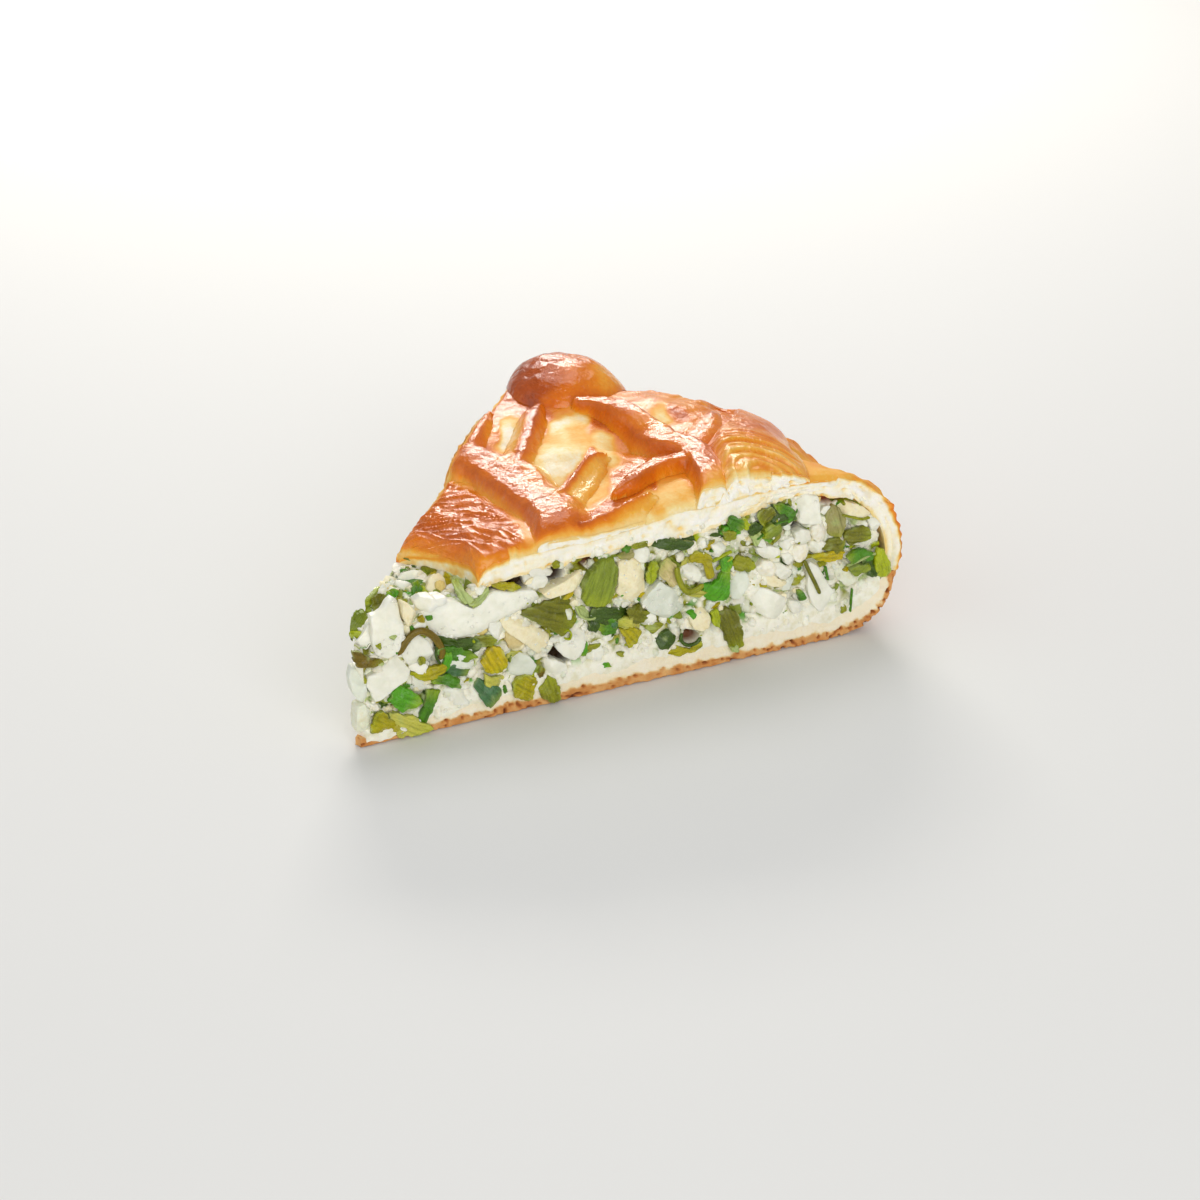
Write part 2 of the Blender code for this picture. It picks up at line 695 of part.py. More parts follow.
def set_piece(form, name, origin, along, up, out, tilt, give, material):
    """Turn a piece, move it to its place, press it clear of the crust and make it an object."""
    swing = math.radians(tilt)
    first = along * math.cos(swing) + up * math.sin(swing)
    second = up * math.cos(swing) - along * math.sin(swing)
    for vert in form.verts:
        vert.co = origin + (first * vert.co.x + second * vert.co.y + out * vert.co.z) * MM
    keep_clear(form, give)
    bmesh.ops.recalc_face_normals(form, faces=form.faces)
    bmesh.ops.triangulate(form, faces=form.faces)
    mesh = bpy.data.meshes.new(name)
    form.to_mesh(mesh)
    form.free()
    return link_object(name, mesh, material)


def piece_form(kind, draw, length, height):
    if kind == "egg":
        return hull_mesh(egg_form(draw, length, height))
    if kind == "ring":
        return ring_mesh(length, height)
    return leaf_mesh(draw, length, height)


def cut_piece(sign, kind, r, z, length, height, tilt, draw, index, material):
    """One piece that shows at a cut: sign is 1 for the right cut and -1 for the left one."""
    turn = math.radians(HALF_ANGLE)
    along = Vector((sign * math.sin(turn), math.cos(turn), 0))
    out = Vector((sign * math.cos(turn), -math.sin(turn), 0))
    depth = LEAF_THICKNESS if kind == "leaf" else 0.45 * PIECE_DEPTH
    origin = world(r, sign * HALF_ANGLE, z) - out * depth * MM
    form = piece_form(kind, draw, length, height)
    name = f"filling_piece_{index}"
    give = draw.random()
    return set_piece(form, name, origin, along, Vector((0, 0, 1)), out, tilt, give, material)


def make_filling(material):
    """The core with the pieces that show at both cuts and in the vent fused on."""
    draw = random.Random(SEED)
    parts = [make_core(material)]
    for kind, r, z, length, height, tilt in RIGHT_PIECES:
        parts.append(cut_piece(1, kind, r, z, length, height, tilt, draw, len(parts), material))
    r = LEFT_FROM
    while r < LEFT_TO:
        low = float(np.interp(r, *BASE_UPPER_LINE))
        high = ceiling(r, -HALF_ANGLE)
        rows = max(int((high - low) / LEFT_ROW), 1)
        for k in range(rows):
            z = low + (high - low) * (k + 0.5) / rows
            z += draw.uniform(-LEFT_STRAY[1], LEFT_STRAY[1])
            kind = draw.choice(("egg", "leaf", "leaf"))
            sizes = EGG_SIZES if kind == "egg" else LEAF_SIZES
            length = draw.uniform(*sizes[0])
            height = draw.uniform(*sizes[1])
            place_r = r + draw.uniform(-LEFT_STRAY[0], LEFT_STRAY[0])
            tilt = draw.uniform(-LEFT_TILT, LEFT_TILT)
            parts.append(cut_piece(-1, kind, place_r, z, length, height, tilt, draw,
                                   len(parts), material))
        r += LEFT_SPACING
    parts += heap_pieces(draw, len(parts), material)
    return join("filling", parts)


def heap_pieces(draw, start, material):
    """Pieces lying on the filling in the open vent, in rings about the pie's middle."""
    pieces = []
    for r, count in HEAP_RINGS:
        for k in range(count):
            angle = 2 * HALF_ANGLE * HEAP_SPREAD * ((k + 0.5) / count - 0.5)
            kind = "egg" if (k + int(r)) % 2 else "leaf"
            turn = draw.uniform(0, math.tau)
            along = Vector((math.cos(turn), math.sin(turn), draw.uniform(-0.3, 0.3)))
            along.normalize()
            out = Vector((draw.uniform(-0.3, 0.3), draw.uniform(-0.4, 0.1), 1.0))
            out = (out - along * out.dot(along)).normalized()
            up = out.cross(along)
            z = float(np.interp(r, HEAP_AT, HEAP)) + lean(r, angle) + HEAP_RISE
            form = piece_form(kind, draw, draw.uniform(*HEAP_LENGTHS),
                              draw.uniform(*HEAP_WIDTHS))
            pieces.append(set_piece(form, f"filling_piece_{start + len(pieces)}",
                                    world(r, angle, z), along, up, out, 0.0,
                                    draw.random(), material))
    return pieces


def main():
    clear_scene()
    baked = dough_material("baked_crust", (0.52, 0.20, 0.04), 0.35)
    dough = dough_material("base_dough", (0.72, 0.55, 0.31), 0.75)
    glazed = dough_material("glazed_dough", (0.45, 0.13, 0.025), 0.28)
    filling = dough_material("egg_and_onion", (0.50, 0.52, 0.20), 0.45)

    base = make_base(dough)
    lid = make_lid(baked)
    near = make_band("band_near", NEAR_BAND, NEAR_HALF_WIDTHS, NEAR_HEIGHT, NEAR_SLASHES, glazed)
    far = make_band("band_far", FAR_BAND, FAR_HALF_WIDTHS, FAR_HEIGHT, FAR_SLASHES, glazed)
    bun = make_bun(glazed)
    fold = make_fold(glazed)
    trim_to_slice((near, far, bun, fold))
    for item in (base, lid, near, far, bun, fold):
        smooth_shade(item)
    make_filling(filling)


main()
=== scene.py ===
"""One slice of green onion and egg pie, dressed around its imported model."""
import math
import random
from itertools import product

import bmesh
import bpy
import numpy as np
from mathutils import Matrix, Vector
from mathutils.bvhtree import BVHTree


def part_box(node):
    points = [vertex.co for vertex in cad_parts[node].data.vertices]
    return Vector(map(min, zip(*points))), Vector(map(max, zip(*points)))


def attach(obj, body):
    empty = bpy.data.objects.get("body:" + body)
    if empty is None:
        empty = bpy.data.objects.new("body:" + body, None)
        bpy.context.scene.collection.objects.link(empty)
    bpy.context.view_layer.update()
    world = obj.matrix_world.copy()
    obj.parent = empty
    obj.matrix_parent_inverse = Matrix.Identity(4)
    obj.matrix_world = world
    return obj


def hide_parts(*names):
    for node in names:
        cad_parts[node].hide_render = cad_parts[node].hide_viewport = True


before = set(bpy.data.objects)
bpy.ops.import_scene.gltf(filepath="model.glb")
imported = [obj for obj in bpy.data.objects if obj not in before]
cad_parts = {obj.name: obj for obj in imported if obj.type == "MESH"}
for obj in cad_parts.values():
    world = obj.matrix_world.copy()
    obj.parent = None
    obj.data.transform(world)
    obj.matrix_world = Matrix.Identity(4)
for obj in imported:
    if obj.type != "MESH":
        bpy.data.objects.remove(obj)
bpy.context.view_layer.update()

bl_info = {
    "name": "Green Onion and Egg Pie",
    "version": (1, 0, 0),
    "blender": (4, 5, 0),
    "location": "3D View > Sidebar > Pie",
    "description": "Makes one slice of a glazed pie with a chopped egg and onion filling",
    "category": "Object",
}

MM = 0.001


def read_rows(text):
    """Rows of a table: words or numbers, and then an outline or a path in pixels of the frame."""
    rows, before = [], ","
    for word in text.split():
        if "," not in word and "," in before:
            rows.append([])
        rows[-1].append(word)
        before = word
    heads = [[float(w) if w[-1].isdigit() else w for w in row if "," not in w] for row in rows]
    pixels = [np.array([w.split(",") for w in row if "," in w], float) for row in rows]
    return [(*head, outline) for head, outline in zip(heads, pixels)]


# Sizes of the baked pie, in millimetres and degrees, as its solids have them
PIE_RADIUS = 145.0
HALF_ANGLE = 24.0
VENT_RADIUS = 32.0
SEAM_HEIGHT = 15.0
MIDDLE_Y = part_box("top_crust")[1].y / MM - PIE_RADIUS
BASE_UPPER = ((2, 2.0), (12, 2.6), (24, 5.2), (45, 6.2), (75, 6.9), (100, 7.0), (118, 7.0),
              (126, 7.2), (131.5, 8.2), (135.5, 10.2), (138.6, 12.6), (140.4, SEAM_HEIGHT))
BASE_LOWER = ((2, 0), (12, 0), (24, 0), (45, 0), (75, 0), (100, 0), (118, 0),
              (128, 0), (134.5, 1.3), (139, 3.9), (142, 8.4), (143.9, SEAM_HEIGHT))
LID_UPPER = ((VENT_RADIUS, 36.4), (34.5, 39.2), (43, 40.3), (56, 40.5), (70, 41.3), (84, 43.1),
             (100, 44.0), (114, 44.6), (125, 44.1), (133, 41.6), (139.5, 36.2), (143.3, 29),
             (PIE_RADIUS, 21), (144.1, SEAM_HEIGHT + 0.3))
LID_UNDER = ((VENT_RADIUS, 33.4), (35, 33.2), (43, 33.5), (56, 34.3), (70, 34.7), (84, 34.5),
             (97, 36.4), (110, 39.2), (120, 39.5), (128.5, 37.3), (134.5, 33.4), (138.6, 28),
             (140.4, 21), (140.4, SEAM_HEIGHT + 0.3))
LEAN_AT = (32, 50, 66, 80, 105, 125, 135)
LEAN = (2.4, 2.7, 2.2, 1.6, 1.0, 0.4, 0.0)
UNDER_LEAN = (1.3, 2.0, 2.0, 1.5, 1.0, 0.4, 0.0)
WALL_SHAPED = 36.0
WALL_PLAIN = 24.0
EDGE_WIDTH = 4.5
EDGE_DROP_AT = (60, 85, 130)
EDGE_DROP = (2.0, 0.8, 0.5)
PILLOWS = ((92, -17, 9, 5, 1.4), (80, -5, 12, 8, 2.6), (91, 1.5, 7, 5, 1.8),
           (74, 14, 8, 7, 1.2), (88, 18, 8, 6, 1.4), (117, -3, 9, 10, 1.8))
VALLEYS = ((134, 15.5, 8, 10, -6.5), (136, -11, 8, 6, -3.0))

# What only the dressed lid has: the hollow under the far band, and the tan one at the cut
LID_HOLLOWS = ((95.5, 0.5, 5.5, 6, -3.4), (93, 23.5, 5, 4, -0.8), (86, -17, 9, 4, -1.6))

# Height of a ridge across it, from its steep side to its soft one, in half widths, and its tone
RIDGE_FORMS = {
    "band": ((-1.14, -1.0, -0.9, -0.78, -0.64, -0.4, 0.0, 0.5, 0.8, 1.0, 1.2, 1.4),
             (0.0, 0.05, 0.40, 0.78, 0.94, 0.99, 1.0, 0.95, 0.78, 0.45, 0.12, 0.0),
             (0.28, 0.36, 0.54, 0.60, 0.62, 0.64, 0.62, 0.62, 0.62, 0.54, 0.42, 0.30)),
    "lip": ((-1.2, -1.0, -0.8, -0.6, -0.4, -0.15, 0.2, 0.55, 0.85, 1.05, 1.2, 1.35),
            (0.0, 0.10, 0.42, 0.74, 0.93, 1.0, 0.98, 0.90, 0.66, 0.36, 0.12, 0.0),
            (0.30, 0.46, 0.50, 0.52, 0.60, 0.72, 0.62, 0.50, 0.48, 0.44, 0.40, 0.30)),
    "tongue": ((-1.15, -0.95, -0.75, -0.5, -0.2, 0.1, 0.5, 1.0, 1.5, 1.9, 2.15, 2.3),
               (0.0, 0.30, 0.78, 1.0, 0.97, 0.80, 0.64, 0.50, 0.40, 0.28, 0.12, 0.0),
               (0.34, 0.50, 0.64, 0.82, 0.78, 0.54, 0.40, 0.34, 0.34, 0.38, 0.36, 0.26)),
}

# Ridges of dough on the lid: path of (r, angle), half widths, height, which side is steep,
# 1 for the side to the right of the path's direction and -1 for the left, and form
NEAR_RIDGES = (
    (((76.5, -27), (71, -17), (66.4, -9), (62, -1), (59.2, 8), (55.4, 17), (51.4, 27)),
     (4.2, 5.8, 6.8, 7.0, 6.8, 6.2, 5.6), 4.3, 1, "band"),
    (((71, -21), (79, -22.6), (88, -22.9), (98, -23.4)), (4.4, 3.8, 3.2, 1.4), 3.0, 1, "lip"),
    (((66, -10), (75, -11.4), (86.5, -13.9), (97, -16.0), (104, -16.8)),
     (5.0, 4.4, 3.8, 3.0, 1.2), 3.9, 1, "lip"),
    (((59, 9.5), (63.3, 8.2), (73.7, 4.2), (81.2, 2.4), (85.5, 2.6)),
     (2.8, 2.5, 2.3, 1.9, 0.7), 3.9, -1, "tongue"),
    (((55, 23.2), (61, 22.8), (67, 21.9), (73, 20.7), (79.5, 19.4)),
     (3.0, 2.4, 2.2, 2.1, 0.9), 3.6, -1, "tongue"),
)
FAR_RIDGES = (
    (((108.2, -12), (107.6, -7.2), (103.6, -0.5), (99.9, 6), (100.6, 11), (97.2, 17), (93, 22.8),
      (90, 27)), (2.0, 3.4, 4.6, 5.0, 4.6, 4.2, 3.8, 3.4), 4.8, 1, "band"),
    (((97, 13), (90, 11.9), (84, 12.6), (78, 14.2), (73, 14.8)), (3.4, 3.2, 3.0, 2.4, 0.9),
     4.2, -1, "band"),
    (((101, 8.5), (108, 7.2), (116, 5), (124, 3)), (3.0, 3.6, 3.4, 1.6), 1.3, -1, "lip"),
)

# How far the streaked patch at the vent reaches, by angle
PATCH_AT = (-24, -17, -9, -1, 8, 17, 24)
PATCH_REACH = (70, 65.5, 60, 55.5, 52.5, 48.5, 45.5)

BUN_R = 122.0
BUN_ANGLE = -17.4
BUN_REACH = 17.0
BUN_WIDTH = 15.2
BUN_HEIGHT = 6.9

FOLD_INNER = ((0, 132.5), (4, 129), (7.5, 117), (10.5, 105), (16, 98.6), (27, 91))
FOLD_OUTER = ((0, 136), (4, 136.5), (8, 136.6), (12.5, 133.5), (18, 126), (27, 115.5))
FOLD_HEIGHTS = (-0.6, 2.2, 3.8, 5.2, 6.4, 7.2)
FOLD_ROUND = (0.45, 0.45, 0.45, 0.5, 0.6, 0.8)
# Middle of the pleats of the fold, and height and tone across them, by millimetres from it
PLEAT_R, PLEAT_ANGLE = 106.0, 25.5
PLEAT_AT = (0, 4.3, 4.9, 7.4, 8.0, 10.2, 10.9, 13.0, 13.5, 15.2, 15.9, 17.1, 17.5, 18.5, 18.9, 20.0,
            20.4, 26)
PLEAT_RISE = (0, -.3, .3, -.2, .3, -.4, .6, -.1, .3, -.4, .6, .0, .35, .0, .3, .0, .25, 0)
PLEAT_TONE = (.30, .44, .26, .44, .26, .50, .24, .42, .32, .54, .30, .52, .40, .60, .42, .62,
              .46, .42)

# Splits of the blocks that the large pieces are made from, along each side in turn, fine where
# the piece shows and under 200,000 triangles each
BASE_SPLITS = ((10, 10), (20, 20), (18,))
LID_SPLITS = ((10, 19), (10, 39), (10,))
FOLD_SPLITS = ((10, 18), (10, 16), (2, 5))
MASS_SPLITS = ((6, 10), (10, 36), (8, 11))
BAND_STEP = 0.42
# Share of the faces that is left where nobody looks
HIDDEN_SHARE = 0.12
# How far bands, bun and fold reach down into the lid
ROOTED = 0.9

# Rings and segments of the balls that the pieces of the filling are shaped from
CHUNK_FORM = (21, 54)
PIECE_FORM = (11, 26)
SCRAP_FORM = (8, 14)
STRIP_FORM = (26, 10)

# Number of the larger pieces at the left cut, and of the pieces in the vent
LEFT_PIECES = 62
HEAP_PIECES = 70

# Top of the filling in the vent: millimetres from the middle and height
HEAP_AT = (4, 12, 22, 31)
HEAP = (26.0, 29.5, 32.0, 33.0)

# Tints of the filling
TINTS = {
    "white": "#f3f1e1", "grey": "#e5e8d8", "curd": "#f5f1e0", "cream": "#f5ebc6", "yolk": "#e6cf84",
    "tan": "#d9c893", "pale": "#e8ead4", "pale_green": "#bfcf8c", "pale_yellow": "#d2cd5e",
    "lime": "#b4c018", "bright": "#5aa81a", "green": "#528c1a", "moss": "#8a9a2c",
    "dark": "#46601a", "teal": "#4e7a50", "yellow_olive": "#b8ac0a", "amber": "#c8b204",
    "olive": "#9a9c1c", "olive_dark": "#7c7c14", "brown_olive": "#7c660e",
    # The browns used by the hollows between the pieces are painted shade.
    "tan_olive": "#aca46a", "brown": "#6a3a12", "dark_brown": "#352008", "rust": "#8c3c0c",
}

# Pieces that show at the right cut: tint, how far the face stands out of the cut in
# millimetres, and the outline as it is seen, in pixels of a 1200 by 1200 frame
# The tan piece at 506,629 is a painted shade sheet: the shaded underside of the cream piece over it.
SHOWN_EGG = read_rows("""
white 0.9 418,618 432,609 446,603 456,601 466,606 474,609 484,600 494,591 510,592 524,590 534,590 540,596
  541,604 536,609 524,612 508,616 500,621 494,627 486,632 478,636 466,637 456,640 448,642 440,641 432,634
  424,627
white 0.9 372,619 384,614 391,608 399,604 404,607 402,616 404,626 404,634 401,641 400,650 396,657 388,660
  378,657 373,650 372,640 373,629
white 0.6 357,641 364,632 370,621 373,619 373,632 373,643 368,649 362,646
white 0.9 369,678 380,672 390,665 400,656 406,664 412,672 408,680 400,684 390,692 382,700 376,704 371,694
  367,686
grey 0.2 350,682 356,672 366,672 369,680 366,688 369,697 364,704 357,700 352,692
pale 0.2 357,705 364,703 372,712 373,724 368,735 358,735 356,722
white 0.6 403,651 407,643 413,638 422,637 429,641 433,649 434,656 431,663 424,666 421,671 413,671 408,664
  403,657
cream 0.5 430,578 434,573 441,571 446,577 448,586 447,594 440,597 431,596 427,588
yolk 0.9 436,581 440,579 444,581 446,587 441,592 436,588
white 0.2 404,572 412,570 422,570 429,573 430,578 424,582 414,581 404,581 399,577
white 0.3 398,578 405,580 411,584 411,600 404,599 401,590 396,584
white 0.5 424,600 436,599 447,598 448,602 443,607 439,611 430,613 420,612 418,606
white 0.3 470,583 480,584 489,588 481,596 474,594
cream 0.9 501,619 512,617 522,620 534,626 546,632 552,637 550,645 546,653 540,656 532,650 520,641 508,634
  503,627
tan 0.0 506,629 516,636 526,645 520,650 509,649 505,640
white 0.4 488,622 500,621 505,630 507,640 501,646 494,640 489,631
grey 0.1 508,652 520,652 530,656 536,664 532,675 520,677 510,674 507,664
white 0.3 546,660 556,660 566,664 568,670 560,675 550,676 545,669
white 0.5 558,640 566,636 574,630 582,625 586,632 584,645 580,655 574,660 564,658 557,650
white 0.0 590,642 600,642 604,652 600,662 590,663 583,657
cream 0.2 540,592 552,586 566,580 580,571 592,566 600,563 599,570 590,576 576,590 562,594 548,598
white 0.3 524,575 532,571 545,572 548,580 545,588 534,590 526,586
cream 0.8 620,563 630,560 645,560 649,567 647,578 648,588 645,598 638,604 630,605 622,598 617,594 618,580
white 0.6 636,549 646,547 652,553 650,562 640,563 634,558
grey 0.7 640,602 650,589 659,580 668,586 680,592 688,600 690,610 690,618 680,622 668,622 658,616 648,612
cream 0.7 690,612 698,608 706,609 711,617 709,627 702,631 694,629 690,621
white 0.5 646,614 653,611 657,618 654,626 648,632 644,626
white 0.3 684,565 692,564 699,568 702,575 697,582 690,581 684,576
white 0.5 712,546 722,543 729,548 724,554 716,557
grey 0.5 732,577 740,572 747,571 749,580 745,590 738,599 733,600 731,590
white 1.1 799,498 808,496 819,497 820,510 822,524 812,526 801,525 800,512
white 0.7 794,532 804,529 812,532 812,541 804,546 795,543
curd 0.6 812,526 824,521 830,530 828,541 818,543 811,536
white 0.5 812,542 822,541 829,545 826,553 816,556 809,550
curd 0.8 797,545 807,544 811,551 806,560 797,563 791,555
white 0.5 784,540 793,537 797,545 792,552 784,550 780,546
white 0.3 782,555 789,552 795,559 792,567 785,564
white 0.5 756,548 770,545 780,549 783,556 776,561 764,559 757,553
curd 0.6 756,568 765,561 774,562 778,570 772,578 762,578
white 0.7 774,564 784,565 793,571 792,579 782,581 775,574
cream 0.5 764,577 774,575 783,581 790,583 780,588 768,586
white 1.0 744,601 750,590 760,589 770,590 791,600 788,608 784,615 777,621 764,616 751,611
white 0.8 790,601 798,601 806,608 804,614 794,614 789,608
white 0.6 753,534 758,531 764,540 766,547 757,546
cream 0.4 838,508 846,502 857,504 866,508 872,514 866,518 852,518 842,514
white 0.5 868,519 876,518 881,524 878,532 871,530
white 0.0 808,560 818,566 826,580 832,590 846,585 852,595 848,610 836,618 822,614 812,604 806,590
pale -0.2 835,566 850,560 864,570 860,580 846,586 836,578
pale 0.2 456,650 468,648 478,652 476,659 464,661 456,657
grey 0.3 450,656 460,653 472,656 476,665 469,675 456,674 448,668
white 0.3 438,690 450,688 464,684 476,686 482,698 468,704 448,706 436,700
white 0.2 383,584 390,583 396,588 388,595 380,596 377,590
cream 0.6 404,604 411,606 417,613 419,621 415,628 408,628 403,618
white -1.5 405,567 414,563 424,562 428,566 418,572 408,574
""")
SHOWN_LEAVES = read_rows("""
olive_dark 0.9 372,604 374,596 380,592 387,593 389,599 387,606 383,612 378,615 373,612
moss 0.5 345,627 350,618 356,611 362,608 368,611 369,619 366,627 360,636 352,638 344,635
pale_green 0.9 356,613 362,610 367,614 367,622 362,627 358,621
brown_olive 0.5 351,650 358,650 366,656 374,660 384,661 388,665 380,668 368,668 357,667 352,660
bright 0.5 386,592 392,589 398,590 402,597 399,603 393,604 388,600
green 0.4 412,582 418,580 423,588 424,597 418,601 412,599
yellow_olive 0.5 426,671 438,664 449,664 447,671 436,677 426,681 416,680 412,675
bright 0.7 446,650 449,648 451,656 450,668 447,673 442,665 444,657
green 0.6 436,677 448,675 459,678 461,688 452,687 442,684 433,684
bright 0.9 386,700 393,692 402,686 409,690 418,695 422,701 415,707 408,709 402,714 397,710 393,703
green 0.9 426,690 433,688 440,690 437,701 432,713 428,722 423,725 419,720 421,711 426,703
yellow_olive 0.6 370,733 371,723 376,714 382,712 388,716 396,722 401,727 396,733 384,734
pale_yellow 0.8 390,714 398,712 405,716 414,714 420,722 428,724 435,728 425,733 412,737 400,738 397,730
  391,722
yellow_olive 0.9 492,586 502,583 514,584 522,587 514,590 502,591
pale_green 0.6 452,578 459,576 466,590 474,602 471,608 463,604 456,592
pale_green 0.7 470,603 480,596 491,587 491,597 481,604 472,608
olive 1.0 419,656 425,657 426,664 420,666
teal 1.0 475,688 480,681 490,683 500,688 502,697 497,703 490,709 484,702 479,697
amber 1.0 482,658 490,650 498,647 503,652 508,662 507,669 500,674 492,676 486,671 483,664
pale_yellow 0.6 483,673 492,677 500,675 506,679 509,689 500,690 490,688 485,684
olive_dark 0.2 455,641 465,638 478,637 490,634 496,638 492,645 480,647 466,650 456,648
olive_dark 0.8 519,615 532,608 545,603 556,598 565,594 572,602 577,612 581,621 575,626 568,632 560,636
  552,630 544,626 534,622 526,618
moss 1.3 583,590 586,578 592,570 600,565 608,560 616,559 619,568 618,580 615,592 611,601 603,606 594,608
  586,605 582,597
pale_yellow 0.8 617,626 620,619 628,616 638,618 642,626 643,631 634,628 625,629
yellow_olive 1.0 619,628 627,629 636,628 643,631 638,640 631,647 628,646 624,638
yellow_olive 1.0 513,683 516,678 528,676 536,677 538,684 537,692 532,701 524,700 515,697 512,690
olive 1.1 540,690 545,682 549,676 556,680 559,688 561,697 558,704 550,703 543,699
brown_olive 0.6 538,676 541,668 545,669 544,677 540,679
bright 0.7 581,655 584,647 587,641 588,650 586,656
olive 0.4 618,652 625,652 624,657 617,656
bright 0.4 600,664 608,662 610,666 602,668
dark 0.4 588,619 595,617 600,625 596,633 589,630
teal 0.5 603,618 614,616 618,628 612,636 604,630
pale_green 0.4 577,608 584,606 590,614 588,620 580,616
bright 1.0 704,586 714,585 720,575 725,570 731,568 732,580 730,592 728,600 718,602 706,603 703,595
olive 0.9 733,563 740,556 748,558 756,563 758,569 750,572 740,572 734,568
olive_dark 1.1 719,614 730,610 740,614 741,625 742,636 745,646 738,650 731,650 726,640 721,628
lime 0.9 711,612 719,610 721,618 719,628 713,624
pale_green 1.2 730,646 738,645 739,651 732,653
dark 0.8 657,640 664,633 670,629 675,635 678,641 672,646 667,651 658,648
yellow_olive 0.8 667,655 676,645 684,648 692,648 701,640 703,646 693,652 680,657
bright 0.7 722,536 728,527 736,522 744,526 740,533 730,540
lime 0.8 738,524 744,517 750,524 746,530
dark 0.5 748,528 756,520 762,526 758,534 750,534
dark 0.5 758,530 760,514 768,505 780,502 790,504 796,512 796,519 788,522 778,529 772,537 768,546 763,540
bright 0.9 782,520 790,511 796,515 792,522
bright 0.8 762,535 770,531 776,536 769,545
tan_olive 0.6 617,556 624,551 632,549 634,556 628,560 620,560
dark 0.6 650,548 653,543 661,540 672,538 684,540 692,540 688,547 680,550 665,550
olive 0.5 630,548 638,543 648,542 648,546 636,549
lime 0.7 647,567 650,560 655,560 658,568 656,578 652,585 646,583
tan -0.3 660,562 670,558 676,566 680,580 684,592 672,588 662,580 658,572
olive_dark 0.7 818,550 830,541 840,538 845,542 844,551 830,552
amber 1.0 812,557 822,553 834,551 845,552 843,560 832,562 818,561
olive_dark 0.5 846,532 856,527 868,526 872,538 862,543 850,546 845,540
tan_olive 0.4 829,512 834,506 840,509 846,518 844,530 842,537 836,539 829,536 827,524
lime 1.0 876,552 878,547 884,549 888,560 892,572 889,577 880,578 876,572 875,562
green 0.6 797,590 804,590 806,598 800,602
olive 0.6 840,607 845,605 847,611 842,615
olive_dark -1.5 403,558 412,559 422,560 432,563 441,567 436,571 424,568 412,563
dark 0.3 860,560 868,555 878,558 879,570 874,577 864,574
dark 0.3 425,641 440,636 458,640 476,637 486,644 476,652 458,655 440,652 428,650
green 0.5 436,648 452,646 468,650 478,656 466,662 450,660 438,656
teal 0.2 448,658 464,660 474,668 466,676 450,676 442,668
dark 0.4 590,608 604,606 618,610 632,606 640,612 632,622 616,626 600,624 590,618
green 0.6 600,622 612,618 622,624 618,634 606,636 598,630
olive_dark 0.5 626,610 640,606 650,612 644,622 630,624
green 0.7 845,556 854,551 866,549 874,554 868,561 858,560 850,565
moss 0.8 850,570 858,564 868,563 872,569 862,572 854,575
green 1.3 774,506 783,503 791,507 796,514 790,519 784,514 777,513
olive_dark 1.1 757,518 763,509 771,507 776,513 770,520 763,526
moss 1.3 764,530 771,523 780,524 783,531 776,538 769,543 763,538
pale_green 1.0 752,538 757,531 764,533 765,541 760,547 754,545
green 1.2 727,524 733,517 741,519 744,526 738,531 731,530
olive 1.0 724,534 730,531 737,532 737,539 730,542 725,540
yellow_olive 1.2 690,556 697,551 706,552 711,558 708,565 700,562 693,563
bright 1.1 719,558 726,556 733,559 733,568 727,573 721,569
""")
# Cut edges of onion leaf: tint, how far it stands out, half width and path, in pixels
SHOWN_STRIPS = read_rows("""
brown_olive 0.7 3.6 398,656 404,645 411,636 420,631 430,634 438,642 442,652 440,660
lime 0.9 1.0 563,632 568,630 571,634 569,639 564,638
olive 0.9 3.0 677,567 678,576 682,586 688,592 696,590 704,584
yellow_olive 0.9 4.6 689,560 698,557 706,561 709,570 711,579
lime 0.9 1.6 712,562 722,556 732,551
lime 0.8 1.5 716,570 724,563 733,557
dark 0.9 1.8 682,633 681,640 687,645 696,643 701,637
olive_dark 0.9 2.0 804,560 809,571 815,583 820,594
green 0.7 1.3 825,566 828,580
green 0.7 0.9 852,588 851,600 850,612
olive 0.7 1.4 842,515 852,517 862,519 870,517
pale_green 0.6 1.5 576,606 580,615 588,619 596,617
lime 0.7 1.2 386,593 393,590 400,592
dark 0.6 1.2 437,646 436,656 440,664
green 0.8 1.3 756,540 766,532 776,524 790,519
pale_green 0.7 1.3 846,566 856,562 868,556 876,553
""")
# Hollows between the pieces, pressed into the mass and darkened with painted shade: the shade's tint and
# outline
PAINTED_SHADE_HOLLOWS = read_rows("""
dark_brown 386,574 391,572 396,577 395,583 389,581
dark_brown 486,586 495,582 506,581 517,582 525,586 528,589 520,592 508,593 495,591
dark_brown 464,586 470,588 474,596 470,598 465,594
rust 830,494 838,491 846,493 849,497 840,500 833,503 825,505 822,502
dark_brown 862,501 867,503 869,508 864,505
brown 879,520 883,522 883,530 880,533
dark_brown 788,529 795,525 801,525 799,531 790,532
dark_brown 551,569 566,567 563,576 560,582 551,584 549,578
brown 581,560 590,559 598,561 592,566 585,566
dark_brown 404,630 409,629 410,633 406,637
dark_brown 368,643 372,641 374,648 370,652
dark_brown 552,648 557,647 566,657 572,662 563,660
brown 685,635 693,633 698,637 692,641 686,640
""")
